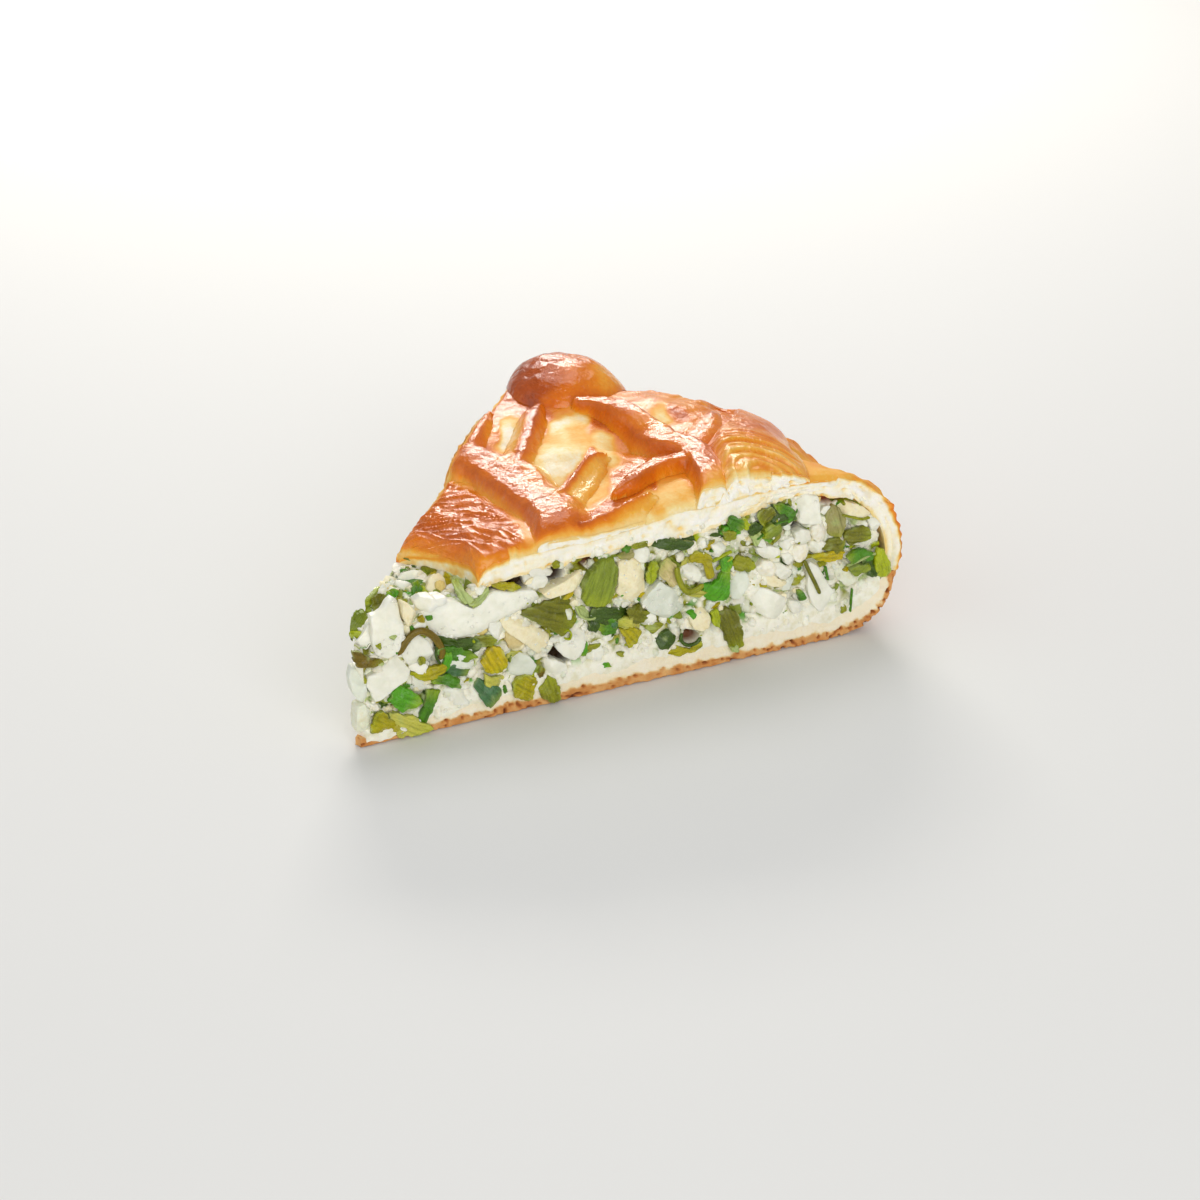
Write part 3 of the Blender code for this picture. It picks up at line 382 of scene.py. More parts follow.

# Browning of the lid: tone from 0, pale, to 1, dark, reach in pixels and path in pixels
# The 0.52 stroke at 622,448 is painted shade in the hollow under the far band.
BROWNING = read_rows("""
0.68 13 455,452 490,466 520,486 548,515 575,522 600,515
0.74 6 448,463 480,474 510,492 530,512 540,532
0.36 4 449,477 480,490 505,505 524,526 532,546
0.64 20 430,500 465,510 500,535
0.72 9 420,527 440,533 460,545
0.52 9 400,540 440,549 470,560
0.42 6 476,566 500,560 530,548
0.2 5 400,552 440,562 470,577
0.78 8 472,441 486,449
0.62 6 466,440 480,420 492,406
0.03 9 512,428 507,446
0.38 4 489,425 487,443 499,457 512,456
0.55 3 495,418 497,440
0.62 6 512,408 520,410
0.3 4 522,420 516,426
0.84 4 537,403 530,428 520,455
0.64 5 546,416 541,434 533,448
0.08 16 550,456 560,470 574,462
0.46 3 520,452 526,468 534,481 548,492
0.6 8 545,402 556,404
0.4 6 560,414 570,410
0.04 6 553,427 584,416
0.32 5 576,426 570,431
0.05 5 566,437
0.28 6 548,440 580,438
0.72 3 566,487 578,470 592,452
0.26 6 573,505 588,485 600,462
0.36 4 603,455 602,472
0.12 8 604,440 610,455
0.52 9 622,448 636,450
0.2 8 586,506 603,487
0.74 3 580,522 610,506 646,487
0.72 7 622,482 642,474
0.5 6 615,488 630,488
0.26 7 598,521 628,510 648,496
0.14 7 590,534 620,527 645,517
0.74 6 582,404 610,425 640,440 670,452 688,468 697,484
0.6 8 590,394 625,408 655,430 700,448
0.6 4 620,478 650,462 680,459
0.46 7 658,474 682,474
0.76 3 651,466 653,486
0.22 12 668,496 690,494 712,492
0.34 5 665,484 690,482
0.5 10 634,398 652,404
0.08 7 658,412 664,420
0.28 7 650,424 640,418
0.74 5 672,411 680,415
0.5 6 680,427 672,430
0.45 8 668,396 700,400
0.52 5 706,408 697,428
0.52 4 716,412 710,430
0.54 13 730,404 750,412 770,424
0.68 4 745,424 780,428
0.62 4 752,437 776,438
0.3 9 740,450 775,448
0.45 4 735,462 760,456 790,464
0.32 7 795,455 802,466
0.46 5 795,440 790,434
0.12 8 715,478 745,476
0.3 6 780,474 795,472
0.86 18 515,385 530,372
0.74 14 550,374 545,360
0.58 13 580,368 585,380
0.36 11 600,374 608,388
0.66 9 504,404 515,400
0.88 7 538,392 534,400
0.56 8 565,392 590,394
0.3 6 815,472 845,478
0.34 5 862,484 885,500
0.06 8 550,543 600,538 640,528
0.06 9 680,514 715,503 740,490
""")

# Where crumbs lie thick at the right cut, in pixels
CRUMB_HEARTS = ((777, 522), (860, 553), (600, 615), (602, 584), (700, 590), (520, 600),
                (460, 640), (560, 640), (740, 560), (650, 610), (390, 640))

# Camera, as it was found from the photograph: degrees, metres and millimetres of lens
VIEW_AZIMUTH = 40.4
VIEW_ELEVATION = 27.0
VIEW_DISTANCE = 0.7164
VIEW_TARGET = (-0.0056, 0.0941 + MIDDLE_Y * MM, 0.0)
LENS = 85.0
SENSOR = 36.0
FRAME_PIXELS = 1200.0


# Curves and faces of the pie

def along_curve(knots, t):
    """Points of the smooth curve through the knots, for an array of t from 0 to 1."""
    knots = np.array(knots, float)
    t = np.atleast_1d(np.asarray(t, float))
    span = np.clip(t, 0, 1) * (len(knots) - 1)
    i = np.minimum(span.astype(int), len(knots) - 2)
    f = (span - i)[:, None]
    before, start, end = knots[np.maximum(i - 1, 0)], knots[i], knots[i + 1]
    after = knots[np.minimum(i + 2, len(knots) - 1)]
    return 0.5 * (2 * start + (end - before) * f
                  + (2 * before - 5 * start + 4 * end - after) * f ** 2
                  + (3 * start - before - 3 * end + after) * f ** 3)


def height_line(knots):
    """Radii and heights along a curve up to its outermost point, to be interpolated."""
    points = along_curve(knots, np.linspace(0, 1, 8 * (len(knots) - 1) + 1))
    top = int(np.argmax(points[:, 0]))
    return points[:top + 1, 0], points[:top + 1, 1]


LID_UPPER_LINE = height_line(LID_UPPER)
LID_UNDER_LINE = height_line(LID_UNDER)
BASE_UPPER_LINE = height_line(BASE_UPPER)


def pie_point(r, angle, z):
    """Points in millimetres from the pie's middle, for arrays of r, angle and z."""
    turn = np.radians(angle)
    return np.stack(np.broadcast_arrays(r * np.sin(turn), r * np.cos(turn), z), axis=-1)


def polar(points):
    return np.hypot(points[:, 0], points[:, 1]), np.degrees(np.arctan2(points[:, 0], points[:, 1]))


def edge_away(r, angle):
    """Millimetres from points of the pie to the nearer of the two cuts."""
    return r * np.sin(np.radians(np.maximum(HALF_ANGLE - np.abs(angle), 0)))


def lean(r, angle, amounts=LEAN):
    """How far a point is raised toward the right cut or lowered toward the left one."""
    return np.interp(r, LEAN_AT, amounts) * angle / HALF_ANGLE


def edge_drop(r, angle):
    """How far the lid sags beside a cut."""
    share = np.clip(1 - edge_away(r, angle) / EDGE_WIDTH, 0, 1)
    return np.interp(r, EDGE_DROP_AT, EDGE_DROP) * share ** 2


def swells(shapes, r, angle):
    """Rise of soft mounds, each by middle r and angle, reach along and around, and height."""
    rise = np.zeros(np.broadcast(r, angle).shape)
    for middle_r, middle_angle, along, around, height in shapes:
        out = (r - middle_r) / along
        side = np.radians(angle - middle_angle) * middle_r / around
        rise = rise + height * np.exp(-out ** 2 - side ** 2)
    return rise


def relief(r, angle):
    return lean(r, angle) - edge_drop(r, angle) + swells(PILLOWS + VALLEYS, r, angle)


def under_relief(r, angle):
    return lean(r, angle, UNDER_LEAN) + swells(VALLEYS, r, angle)


def lid_share(z):
    """0 on the lower wall of the lid and 1 where its relief is at its full height."""
    return np.clip((z - WALL_PLAIN) / (WALL_SHAPED - WALL_PLAIN), 0, 1)


def lid_top(r, angle):
    """Height of the lid's skin, on which bands, bun and fold lie."""
    return (np.interp(r, *LID_UPPER_LINE) + relief(r, angle)
            + swells(LID_HOLLOWS, r, angle) * lid_share(np.interp(r, *LID_UPPER_LINE)))


def lid_underside(r, angle):
    return np.interp(r, *LID_UNDER_LINE) + under_relief(r, angle)


def base_top(r):
    return np.interp(r, *BASE_UPPER_LINE)


# Random forms

GRADIENTS = np.random.RandomState(5).normal(size=(4096, 3))
GRADIENTS /= np.linalg.norm(GRADIENTS, axis=1)[:, None]


def ripple(points, size, seed=0):
    """Smooth random heights from about -1 to 1 that change over size millimetres."""
    places = np.asarray(points, float) / size + 31.7 * seed
    cells = np.floor(places).astype(np.int64)
    inside = places - cells
    blend = inside ** 3 * (inside * (inside * 6 - 15) + 10)
    total = np.zeros(len(places))
    for corner in product((0, 1), repeat=3):
        corner = np.array(corner)
        key = cells + corner
        mixed = (key[:, 0] * 73856093) ^ (key[:, 1] * 19349663) ^ (key[:, 2] * 83492791)
        slope = GRADIENTS[mixed % 4096]
        weight = np.prod(np.where(corner, blend, 1 - blend), axis=1)
        total += weight * np.sum(slope * (inside - corner), axis=1)
    return 1.6 * total


def crumple(points, size, seed=0, layers=3):
    """Ripples of size and of finer sizes on top of each other."""
    return sum(ripple(points, size / 2 ** k, seed + 7 * k) / 2 ** k for k in range(layers))


def smooth_step(low, high, value):
    share = np.clip((value - low) / (high - low), 0, 1)
    return share * share * (3 - 2 * share)


# Line of sight, by which what was seen in the photograph gets its place

def toward(azimuth, elevation):
    """Unit vector from the slice to a viewer or a light, by two angles in degrees."""
    turn, rise = math.radians(azimuth), math.radians(elevation)
    return math.sin(turn) * math.cos(rise), -math.cos(turn) * math.cos(rise), math.sin(rise)


def eye():
    """Place of the camera and its directions ahead, to the right and up, in millimetres."""
    back = np.array(toward(VIEW_AZIMUTH, VIEW_ELEVATION))
    target = np.array(VIEW_TARGET) / MM - (0, MIDDLE_Y, 0)
    right = np.cross(-back, (0, 0, 1))
    right /= np.linalg.norm(right)
    return target + back * VIEW_DISTANCE / MM, -back, right, np.cross(right, -back)


EYE, AHEAD, RIGHTWARD, UPWARD = eye()
FOCAL_PIXELS = LENS / SENSOR * FRAME_PIXELS


def to_pixels(points):
    """Where points of the pie are seen, in pixels of the frame."""
    seen = points - EYE
    depth = seen @ AHEAD
    return np.stack((0.5 * FRAME_PIXELS + FOCAL_PIXELS * (seen @ RIGHTWARD) / depth,
                     0.5 * FRAME_PIXELS - FOCAL_PIXELS * (seen @ UPWARD) / depth), axis=-1)


class Sheet:
    """A flat working face in the pie: p runs along it, q up it and d out of it."""

    def __init__(self, origin, along, up):
        self.origin = np.array(origin, float)
        self.along = np.array(along, float) / np.linalg.norm(along)
        self.out = np.cross(self.along, up)
        self.out /= np.linalg.norm(self.out)
        self.up = np.cross(self.out, self.along)

    def points(self, p, q, d):
        return (self.origin + np.multiply.outer(p, self.along)
                + np.multiply.outer(q, self.up) + np.multiply.outer(d, self.out))

    def seen_at(self, pixels, out):
        """Where lines of sight through pixels meet the face moved out by some millimetres."""
        pixels = np.asarray(pixels, float)
        line = (AHEAD + np.multiply.outer((pixels[:, 0] - 0.5 * FRAME_PIXELS) / FOCAL_PIXELS,
                                          RIGHTWARD)
                - np.multiply.outer((pixels[:, 1] - 0.5 * FRAME_PIXELS) / FOCAL_PIXELS, UPWARD))
        reach = (out - (EYE - self.origin) @ self.out) / (line @ self.out)
        hit = EYE + line * reach[:, None] - self.origin
        return np.stack((hit @ self.along, hit @ self.up), axis=-1)


CUT_SINE, CUT_COSINE = math.sin(math.radians(HALF_ANGLE)), math.cos(math.radians(HALF_ANGLE))
RIGHT_CUT = Sheet((0, 0, 0), (CUT_SINE, CUT_COSINE, 0), (0, 0, 1))
LEFT_CUT = Sheet((0, 0, 0), (CUT_SINE, -CUT_COSINE, 0), (0, 0, 1))


def browning_strokes():
    """Strokes of browning with their paths filled up with spots in between."""
    strokes = []
    for tone, reach, path in BROWNING:
        if len(path) > 1:
            steps = max(int(np.abs(np.diff(path, axis=0)).sum() / (0.5 * reach)), 2)
            at = np.linspace(0, len(path) - 1, steps)
            path = np.stack([np.interp(at, range(len(path)), path[:, k]) for k in (0, 1)], 1)
        strokes.append((tone, reach, path))
    return strokes


STROKES = browning_strokes()


def browned(points, plain, share):
    """Tone of the baked dough at points: plain, but for the strokes where share is above 0."""
    tone = np.broadcast_to(np.asarray(plain, float), len(points)).copy()
    share = np.broadcast_to(np.asarray(share, float), len(points))
    struck = np.flatnonzero(share > 0)
    own = points[struck]
    seen = to_pixels(own)
    seen = seen + 1.6 * np.stack((crumple(own, 3.0, 3), crumple(own, 3.0, 4)), axis=-1)
    total = np.full(len(own), 0.25)
    value_sum = total * tone[struck]
    for value, reach, path in STROKES:
        low, high = path.min(axis=0) - 3 * reach, path.max(axis=0) + 3 * reach
        near = np.flatnonzero(np.all((seen > low) & (seen < high), axis=1))
        away = np.full(len(near), np.inf)
        for spot in path:
            away = np.minimum(away, np.sum((seen[near] - spot) ** 2, axis=1))
        weight = (2.5 + 12 / reach) * np.exp(-away / reach ** 2) * share[struck][near]
        total[near] += weight
        value_sum[near] += weight * value
    tone[struck] = value_sum / total
    return tone


# Modelling steps

# Sides of a block that differ by less than this are the same
SAME_PLACE = 1e-5


def deselect():
    if bpy.context.object and bpy.context.object.mode != "OBJECT":
        bpy.ops.object.mode_set(mode="OBJECT")
    bpy.ops.object.select_all(action="DESELECT")


def pick(*pieces):
    deselect()
    for piece in pieces:
        piece.select_set(True)
    bpy.context.view_layer.objects.active = pieces[0]


def coordinates(mesh):
    flat = np.empty(len(mesh.vertices) * 3, np.float32)
    mesh.vertices.foreach_get("co", flat)
    return flat.reshape(-1, 3).astype(float)


def set_coordinates(mesh, points):
    mesh.vertices.foreach_set("co", np.asarray(points, np.float32).ravel())
    mesh.update()


def to_slice(points):
    """Metres in the slice's frame, from millimetres from the pie's middle."""
    return (points + (0, MIDDLE_Y, 0)) * MM


def mark(mesh, name, values):
    """Store one number, or one colour, for each vertex."""
    values = np.asarray(values, np.float32)
    width = values.shape[1] if values.ndim > 1 else 1
    kind, field = {1: ("FLOAT", "value"), 3: ("FLOAT_VECTOR", "vector"),
                   4: ("FLOAT_COLOR", "color")}[width]
    store = mesh.attributes.get(name) or mesh.attributes.new(name, kind, "POINT")
    store.data.foreach_set(field, values.ravel())


def stored(mesh, name):
    """The numbers that mark stored, one for each vertex."""
    values = np.empty(len(mesh.vertices), np.float32)
    mesh.attributes[name].data.foreach_get("value", values)
    return values


def select(piece, kind, test, name=None):
    """Select just what a test holds for: it gets each vertex or edge, or the number stored there."""
    bpy.ops.mesh.select_mode(type=kind)
    bpy.ops.mesh.select_all(action="DESELECT")
    form = bmesh.from_edit_mesh(piece.data)
    layer = form.verts.layers.float[name] if name else None
    for part in form.verts if kind == "VERT" else form.edges:
        part.select_set(bool(test(part[layer] if name else part)))
    bmesh.update_edit_mesh(piece.data)


def block(name, splits):
    """A cube primitive from 0 to 1, split along each side by the given numbers in turn."""
    deselect()
    bpy.ops.mesh.primitive_cube_add(size=1, location=(0.5, 0.5, 0.5))
    bpy.ops.object.transform_apply(location=True, rotation=True, scale=True)
    piece = bpy.context.object
    piece.name = piece.data.name = name
    bpy.ops.object.mode_set(mode="EDIT")
    for axis, numbers in enumerate(splits):
        for number in numbers:
            select(piece, "EDGE", lambda edge: abs(edge.verts[1].co[axis] - edge.verts[0].co[axis])
                   > SAME_PLACE)
            bpy.ops.mesh.subdivide(number_cuts=number - 1)
    bpy.ops.object.mode_set(mode="OBJECT")
    return piece


def thin(piece, hidden):
    """Leave few of the faces where the points are hidden, so that the seen ones can be fine."""
    pick(piece)
    mark(piece.data, "hidden", hidden)
    bpy.ops.object.mode_set(mode="EDIT")
    bpy.ops.mesh.select_mode(type="VERT")
    form = bmesh.from_edit_mesh(piece.data)
    layer = form.verts.layers.float["hidden"]
    for vert in form.verts:
        vert.select_set(vert[layer] > 0.5)
    bmesh.update_edit_mesh(piece.data)
    bpy.ops.mesh.decimate(ratio=HIDDEN_SHARE)
    bpy.ops.object.mode_set(mode="OBJECT")
    piece.data.attributes.remove(piece.data.attributes["hidden"])


def finish(piece, material, slot, *nodes):
    """Smooth, closed, right way out, in its place on the body, with its finish."""
    pick(piece)
    bpy.ops.object.mode_set(mode="EDIT")
    bpy.ops.mesh.select_all(action="SELECT")
    bpy.ops.mesh.normals_make_consistent(inside=False)
    bpy.ops.object.mode_set(mode="OBJECT")
    bpy.ops.object.shade_smooth_by_angle(angle=math.radians(50))
    piece.data.materials.clear()
    piece.data.materials.append(material)
    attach(piece, "root")
    if nodes:
        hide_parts(*nodes)


def bake(piece, points, tone, crumb, shine, slot, node, kind="glazed_crust", hidden=None):
    """Give a piece of dough its shape, its browning, its shares of open crumb and glaze."""
    set_coordinates(piece.data, to_slice(points))
    mark(piece.data, "tone", np.clip(tone, 0, 1))
    mark(piece.data, "crumb", crumb)
    mark(piece.data, "shine", shine)
    if hidden is not None:
        thin(piece, hidden)
    finish(piece, dough_material(kind), slot, node)


def at_ends(share):
    """Whether points lie at either end of a side of a block, such as in one of the cuts."""
    return (share < 1e-4) | (share > 1 - 1e-4)


def torn_crumb(along, depth, seed):
    """How far the layers, lumps and pores of torn crumb stand out of a cut, in millimetres."""
    flat = np.stack((along, depth, along * 0 + seed), axis=-1)
    layers = ripple(flat / (6.5, 0.8, 1), 1.0, 31) + 0.5 * ripple(flat / (3.4, 0.45, 1), 1.0, 32)
    lumps = crumple(flat, 4.4, 34)
    pores = np.minimum(ripple(flat, 1.5, 33) + 0.22, 0)
    pores = pores + 0.6 * np.minimum(ripple(flat, 3.1, 37) + 0.25, 0)
    layered = 0.4 + 0.6 * smooth_step(80, 105, along)
    return (0.25 + 0.35 * layered) * layers * layered + 0.5 * lumps + 0.9 * pores, layers, pores


def crumb_tone(points, flakes, pores):
    """Tone of torn crumb: nearly white, and tan with painted shade in its pits and where it lies between
    layers.
    """
    blotch = np.clip(crumple(points, 6.5, 40), -0.3, 1)
    return 0.03 + 0.05 * blotch - 0.04 * np.clip(flakes, -1, 0.4) - 0.2 * pores


def worn_edge(points, r, angle):
    """Share from 0 to 1 of the pale, torn border of the lid beside a cut."""
    reach = 1.6 + 1.2 * ripple(points * (1, 1, 0), 6, 81) + 0.5 * ripple(points * (1, 1, 0), 1.5, 82)
    reach = np.maximum(reach, 0.5) * (1 + 0.9 * np.exp(-((r - 66) / 16) ** 2))
    return 1 - smooth_step(0.0, reach, edge_away(r, angle))


def add_base(settings):
    """Bottom crust: flat, pale inside, browned and pitted below."""
    piece = block("base_crust", BASE_SPLITS)
    across, along, up = coordinates(piece.data).T
    angle = HALF_ANGLE * (2 * across - 1)
    upper = along_curve(BASE_UPPER, along)
    lower = along_curve(BASE_LOWER, along)
    lower[:, 1] = np.maximum(lower[:, 1], 0)
    share = up ** 1.25
    r = lower[:, 0] + (upper[:, 0] - lower[:, 0]) * share
    z = lower[:, 1] + (upper[:, 1] - lower[:, 1]) * share
    points = pie_point(r, angle, z)
    depth = z - lower[:, 1] + 1.2 * np.maximum(r - 132, 0) / 12
    skin = 2.2 + 0.7 * ripple(points, 8, 2) + 0.9 * crumple(points, 2.6, 3)
    brown = 1 - smooth_step(skin - 0.7, skin + 0.5, depth)
    cut = at_ends(across)
    outward = np.where(across[:, None] > 0.5, RIGHT_CUT.out, LEFT_CUT.out)
    pits = np.minimum(ripple(points, 1.1, 4) + 0.15, 0) * (0.15 + 0.85 * brown)
    rough = 0.14 * crumple(points, 3.4, 5) + 0.3 * brown * ripple(points, 1.9, 12) + 1.3 * pits
    points += outward * (np.where(cut, rough, 0) * (1 if settings.crumb else 0))[:, None]
    outer = (r > 138) & ~cut
    bulge = 0.35 * crumple(points, 4.0, 6)
    points[:, :2] *= 1 + np.where(outer, bulge / np.maximum(r, 1), 0)[:, None]
    lift = np.maximum(0.55 * ripple(points, 3.2, 7) + 0.3 * ripple(points, 1.1, 8) + 0.12, 0)
    points[:, 2] = np.maximum(points[:, 2] + lift * (up < 0.01) * np.where(cut | outer, 1, 0.3), 0)
    tone = 0.05 + 0.03 * ripple(points, 6, 9) + brown * (0.36 + 0.10 * ripple(points, 3, 10))
    # Painted shade: the pits in the browned skin are darkened.
    tone -= brown * pits * 0.9
    under = up < 0.01
    tone = np.where(under & ~cut, 0.50 + 0.16 * crumple(points, 8, 11), tone)
    side = smooth_step(138, 141, r) * (1 - smooth_step(0.5, 0.9, up))
    tone = np.where(~cut, np.maximum(tone, (0.52 + 0.14 * crumple(points, 6, 13)) * side), tone)
    bake(piece, points, tone, np.where(cut, 1.0 - 0.4 * brown, 0.3 * under), np.zeros(len(points)),
         "base_dough", "bottom_crust", "base_crumb")


def wall_bumps(points, z, angle, r):
    """Small scallops that the dough's folds leave on the outer wall and on the rim."""
    fine = 0.5 + 0.5 * np.sin(2.1 * z + 1.6 * crumple(points, 9, 21))
    folds = ripple(np.stack((0.35 * angle, z, r * 0), -1), 1.5, 22)
    return 0.55 * fine + 0.5 * folds


def add_lid():
    """Lid: browned and glazed on top and down its wall, pale and layered where it is cut."""
    piece = block("lid", LID_SPLITS)
    across, along, up = coordinates(piece.data).T
    angle = HALF_ANGLE * (2 * across - 1)
    upper = along_curve(LID_UPPER, along)
    under = along_curve(LID_UNDER, along)
    pressed = relief(upper[:, 0], angle) + swells(LID_HOLLOWS, upper[:, 0], angle)
    top_z = upper[:, 1] + pressed * lid_share(upper[:, 1])
    low_z = under[:, 1] + under_relief(under[:, 0], angle) * lid_share(under[:, 1])
    hanging = pie_point(under[:, 0], angle, 0)
    low_z -= (0.9 * ripple(hanging, 4.6, 30) + 0.6 * ripple(hanging, 1.7, 29)) * lid_share(low_z)
    r = under[:, 0] + (upper[:, 0] - under[:, 0]) * up
    z = low_z + (top_z - low_z) * up
    points = pie_point(r, angle, z)
    thickness = np.hypot(upper[:, 0] - under[:, 0], top_z - low_z)
    depth = (1 - up) * thickness
    cut = at_ends(across)
    top = up > 0.999
    outward = np.where(across[:, None] > 0.5, RIGHT_CUT.out, LEFT_CUT.out)
    rough, flakes, pores = torn_crumb(r, depth, 1)
    points += outward * np.where(cut, rough, 0)[:, None]
    wall = smooth_step(134, 141, upper[:, 0]) * smooth_step(13, 17, z)
    push = wall * wall_bumps(points, z, angle, r) * (0.35 + 0.65 * top)
    points[:, :2] *= 1 + (push * up * 0.8 / r)[:, None]
    patch_end = np.interp(angle, PATCH_AT, PATCH_REACH)
    vent = 1 - smooth_step(patch_end - 5, patch_end, r)
    soft = 0.30 * crumple(points, 7, 35) * np.where(top, 1, 0)
    streaks = np.stack((angle * r / 57.3 / 10.0, r / 2.4, z * 0), axis=-1)
    streaks[:, 1] += 0.7 * ripple(points, 8, 28)
    wrinkles = (1 - np.abs(ripple(streaks, 1.0, 36))) ** 2.2 + 0.4 * ripple(streaks * 2.3, 1.0, 24)
    wrinkles *= 0.9 * vent * np.where(top, 1, 0)
    crimps = ripple(np.stack((angle * 0.55, r / 7, z * 0), -1), 1.0, 27)
    crimps = crimps + 0.6 * ripple(np.stack((angle * 1.2, r / 4, z * 0), -1), 1.0, 23)
    crimps *= np.where(top, smooth_step(122, 132, r), 0)
    points[:, 2] += (soft + wrinkles + crimps) * lid_share(z)
    worn = worn_edge(points, r, angle) * np.where(cut, 1.0, up)
    points[:, 2] -= np.where(top, 1.0, 0.5 * up) * worn ** 2 * lid_share(z) * (r < 126)
    high = lid_share(upper[:, 1]) * smooth_step(20, 34, z)
    plain = 0.56 + 0.10 * crumple(points, 10, 37) - 0.16 * (1 - smooth_step(15, 21, z))
    surface = browned(points, plain, high)
    surface = surface + 0.11 * crumple(points, 5, 26) * smooth_step(122, 132, r)
    pale = crumb_tone(points, flakes, pores)
    pale += 0.10 * (1 - smooth_step(0.3, 1.4, up * thickness))
    skin = np.exp(-(depth / np.maximum(0.8 + 0.5 * crumple(points, 3.5, 38), 0.25)) ** 2)
    border = worn * (1 - smooth_step(112, 122, r)) * (r > 40)
    surface = surface + (0.13 - surface) * 0.85 * border
    tone = pale + (surface - pale) * skin
    tone = np.where((up < 0.001) & ~cut, 0.22, tone)
    hole_wall = (along < 1e-4) & (up < 0.93)
    tone = np.where(hole_wall, 0.15 + 0.1 * crumple(points, 4, 25)
                    + 0.26 * smooth_step(0.55, 0.93, up), tone)
    crumb = np.where(cut, np.maximum(1 - skin, border), np.where(top, 0.6 * border, 0.6))
    glaze = np.maximum(vent * high, 0.65 * smooth_step(0.30, 0.50, surface))
    bake(piece, points, tone, np.where(hole_wall, 0.7, crumb),
         np.where(top, glaze * (1 - border), 0), "baked_crust", "top_crust",
         hidden=(up < 1e-3) & ~cut & (along > 0.02) & (along < 0.98))


def ridge_rise(points, ridges):
    """Height of the joined ridges above the lid at points, and how brown they are."""
    rise, tone = np.zeros(len(points)), np.full(len(points), 0.3)
    for path, widths, height, steep, form in ridges:
        places, heights, tones = RIDGE_FORMS[form]
        knots = along_curve(path, np.linspace(0, 1, 5 * (len(path) - 1) + 1))
        line = pie_point(knots[:, 0], knots[:, 1], 0)[:, :2]
        starts, runs = line[:-1], np.diff(line, axis=0)
        gap = points[:, None, :2] - starts
        share = np.clip(np.sum(gap * runs, axis=2) / np.sum(runs ** 2, axis=1), 0, 1)
        off = gap - share[..., None] * runs
        away = np.hypot(off[..., 0], off[..., 1])
        nearest = np.argmin(away, axis=1)
        rows = np.arange(len(points))
        run, gap = runs[nearest], off[rows, nearest]
        side = np.sign(run[:, 0] * gap[:, 1] - run[:, 1] * gap[:, 0]) * steep
        at = (nearest + share[rows, nearest]) / len(runs)
        half = np.interp(at, np.linspace(0, 1, len(widths)), widths)
        across = side * away[rows, nearest] / half
        swell = height * np.minimum(1, half / max(widths) + 0.25)
        own = swell * np.interp(across, places, heights)
        leads = own > rise
        tone[leads] = np.interp(across, places, tones)[leads]
        mix = np.maximum(1.2 - np.abs(rise - own), 0)
        both = np.minimum(rise, own) > 0.2
        rise = np.maximum(rise, own) + np.where(both, mix ** 2 / 4.8, 0)
    return rise, tone


def upright_at_cut(edge):
    """Whether an edge of a band stands upright in one of the two cuts."""
    upper, lower = (vert.co for vert in edge.verts)
    upright = abs(upper.z - lower.z) > 1 and (upper.xy - lower.xy).length < SAME_PLACE
    turned = abs(math.degrees(math.atan2(upper.x, upper.y)))
    return upright and abs(turned - HALF_ANGLE) < 1e-3


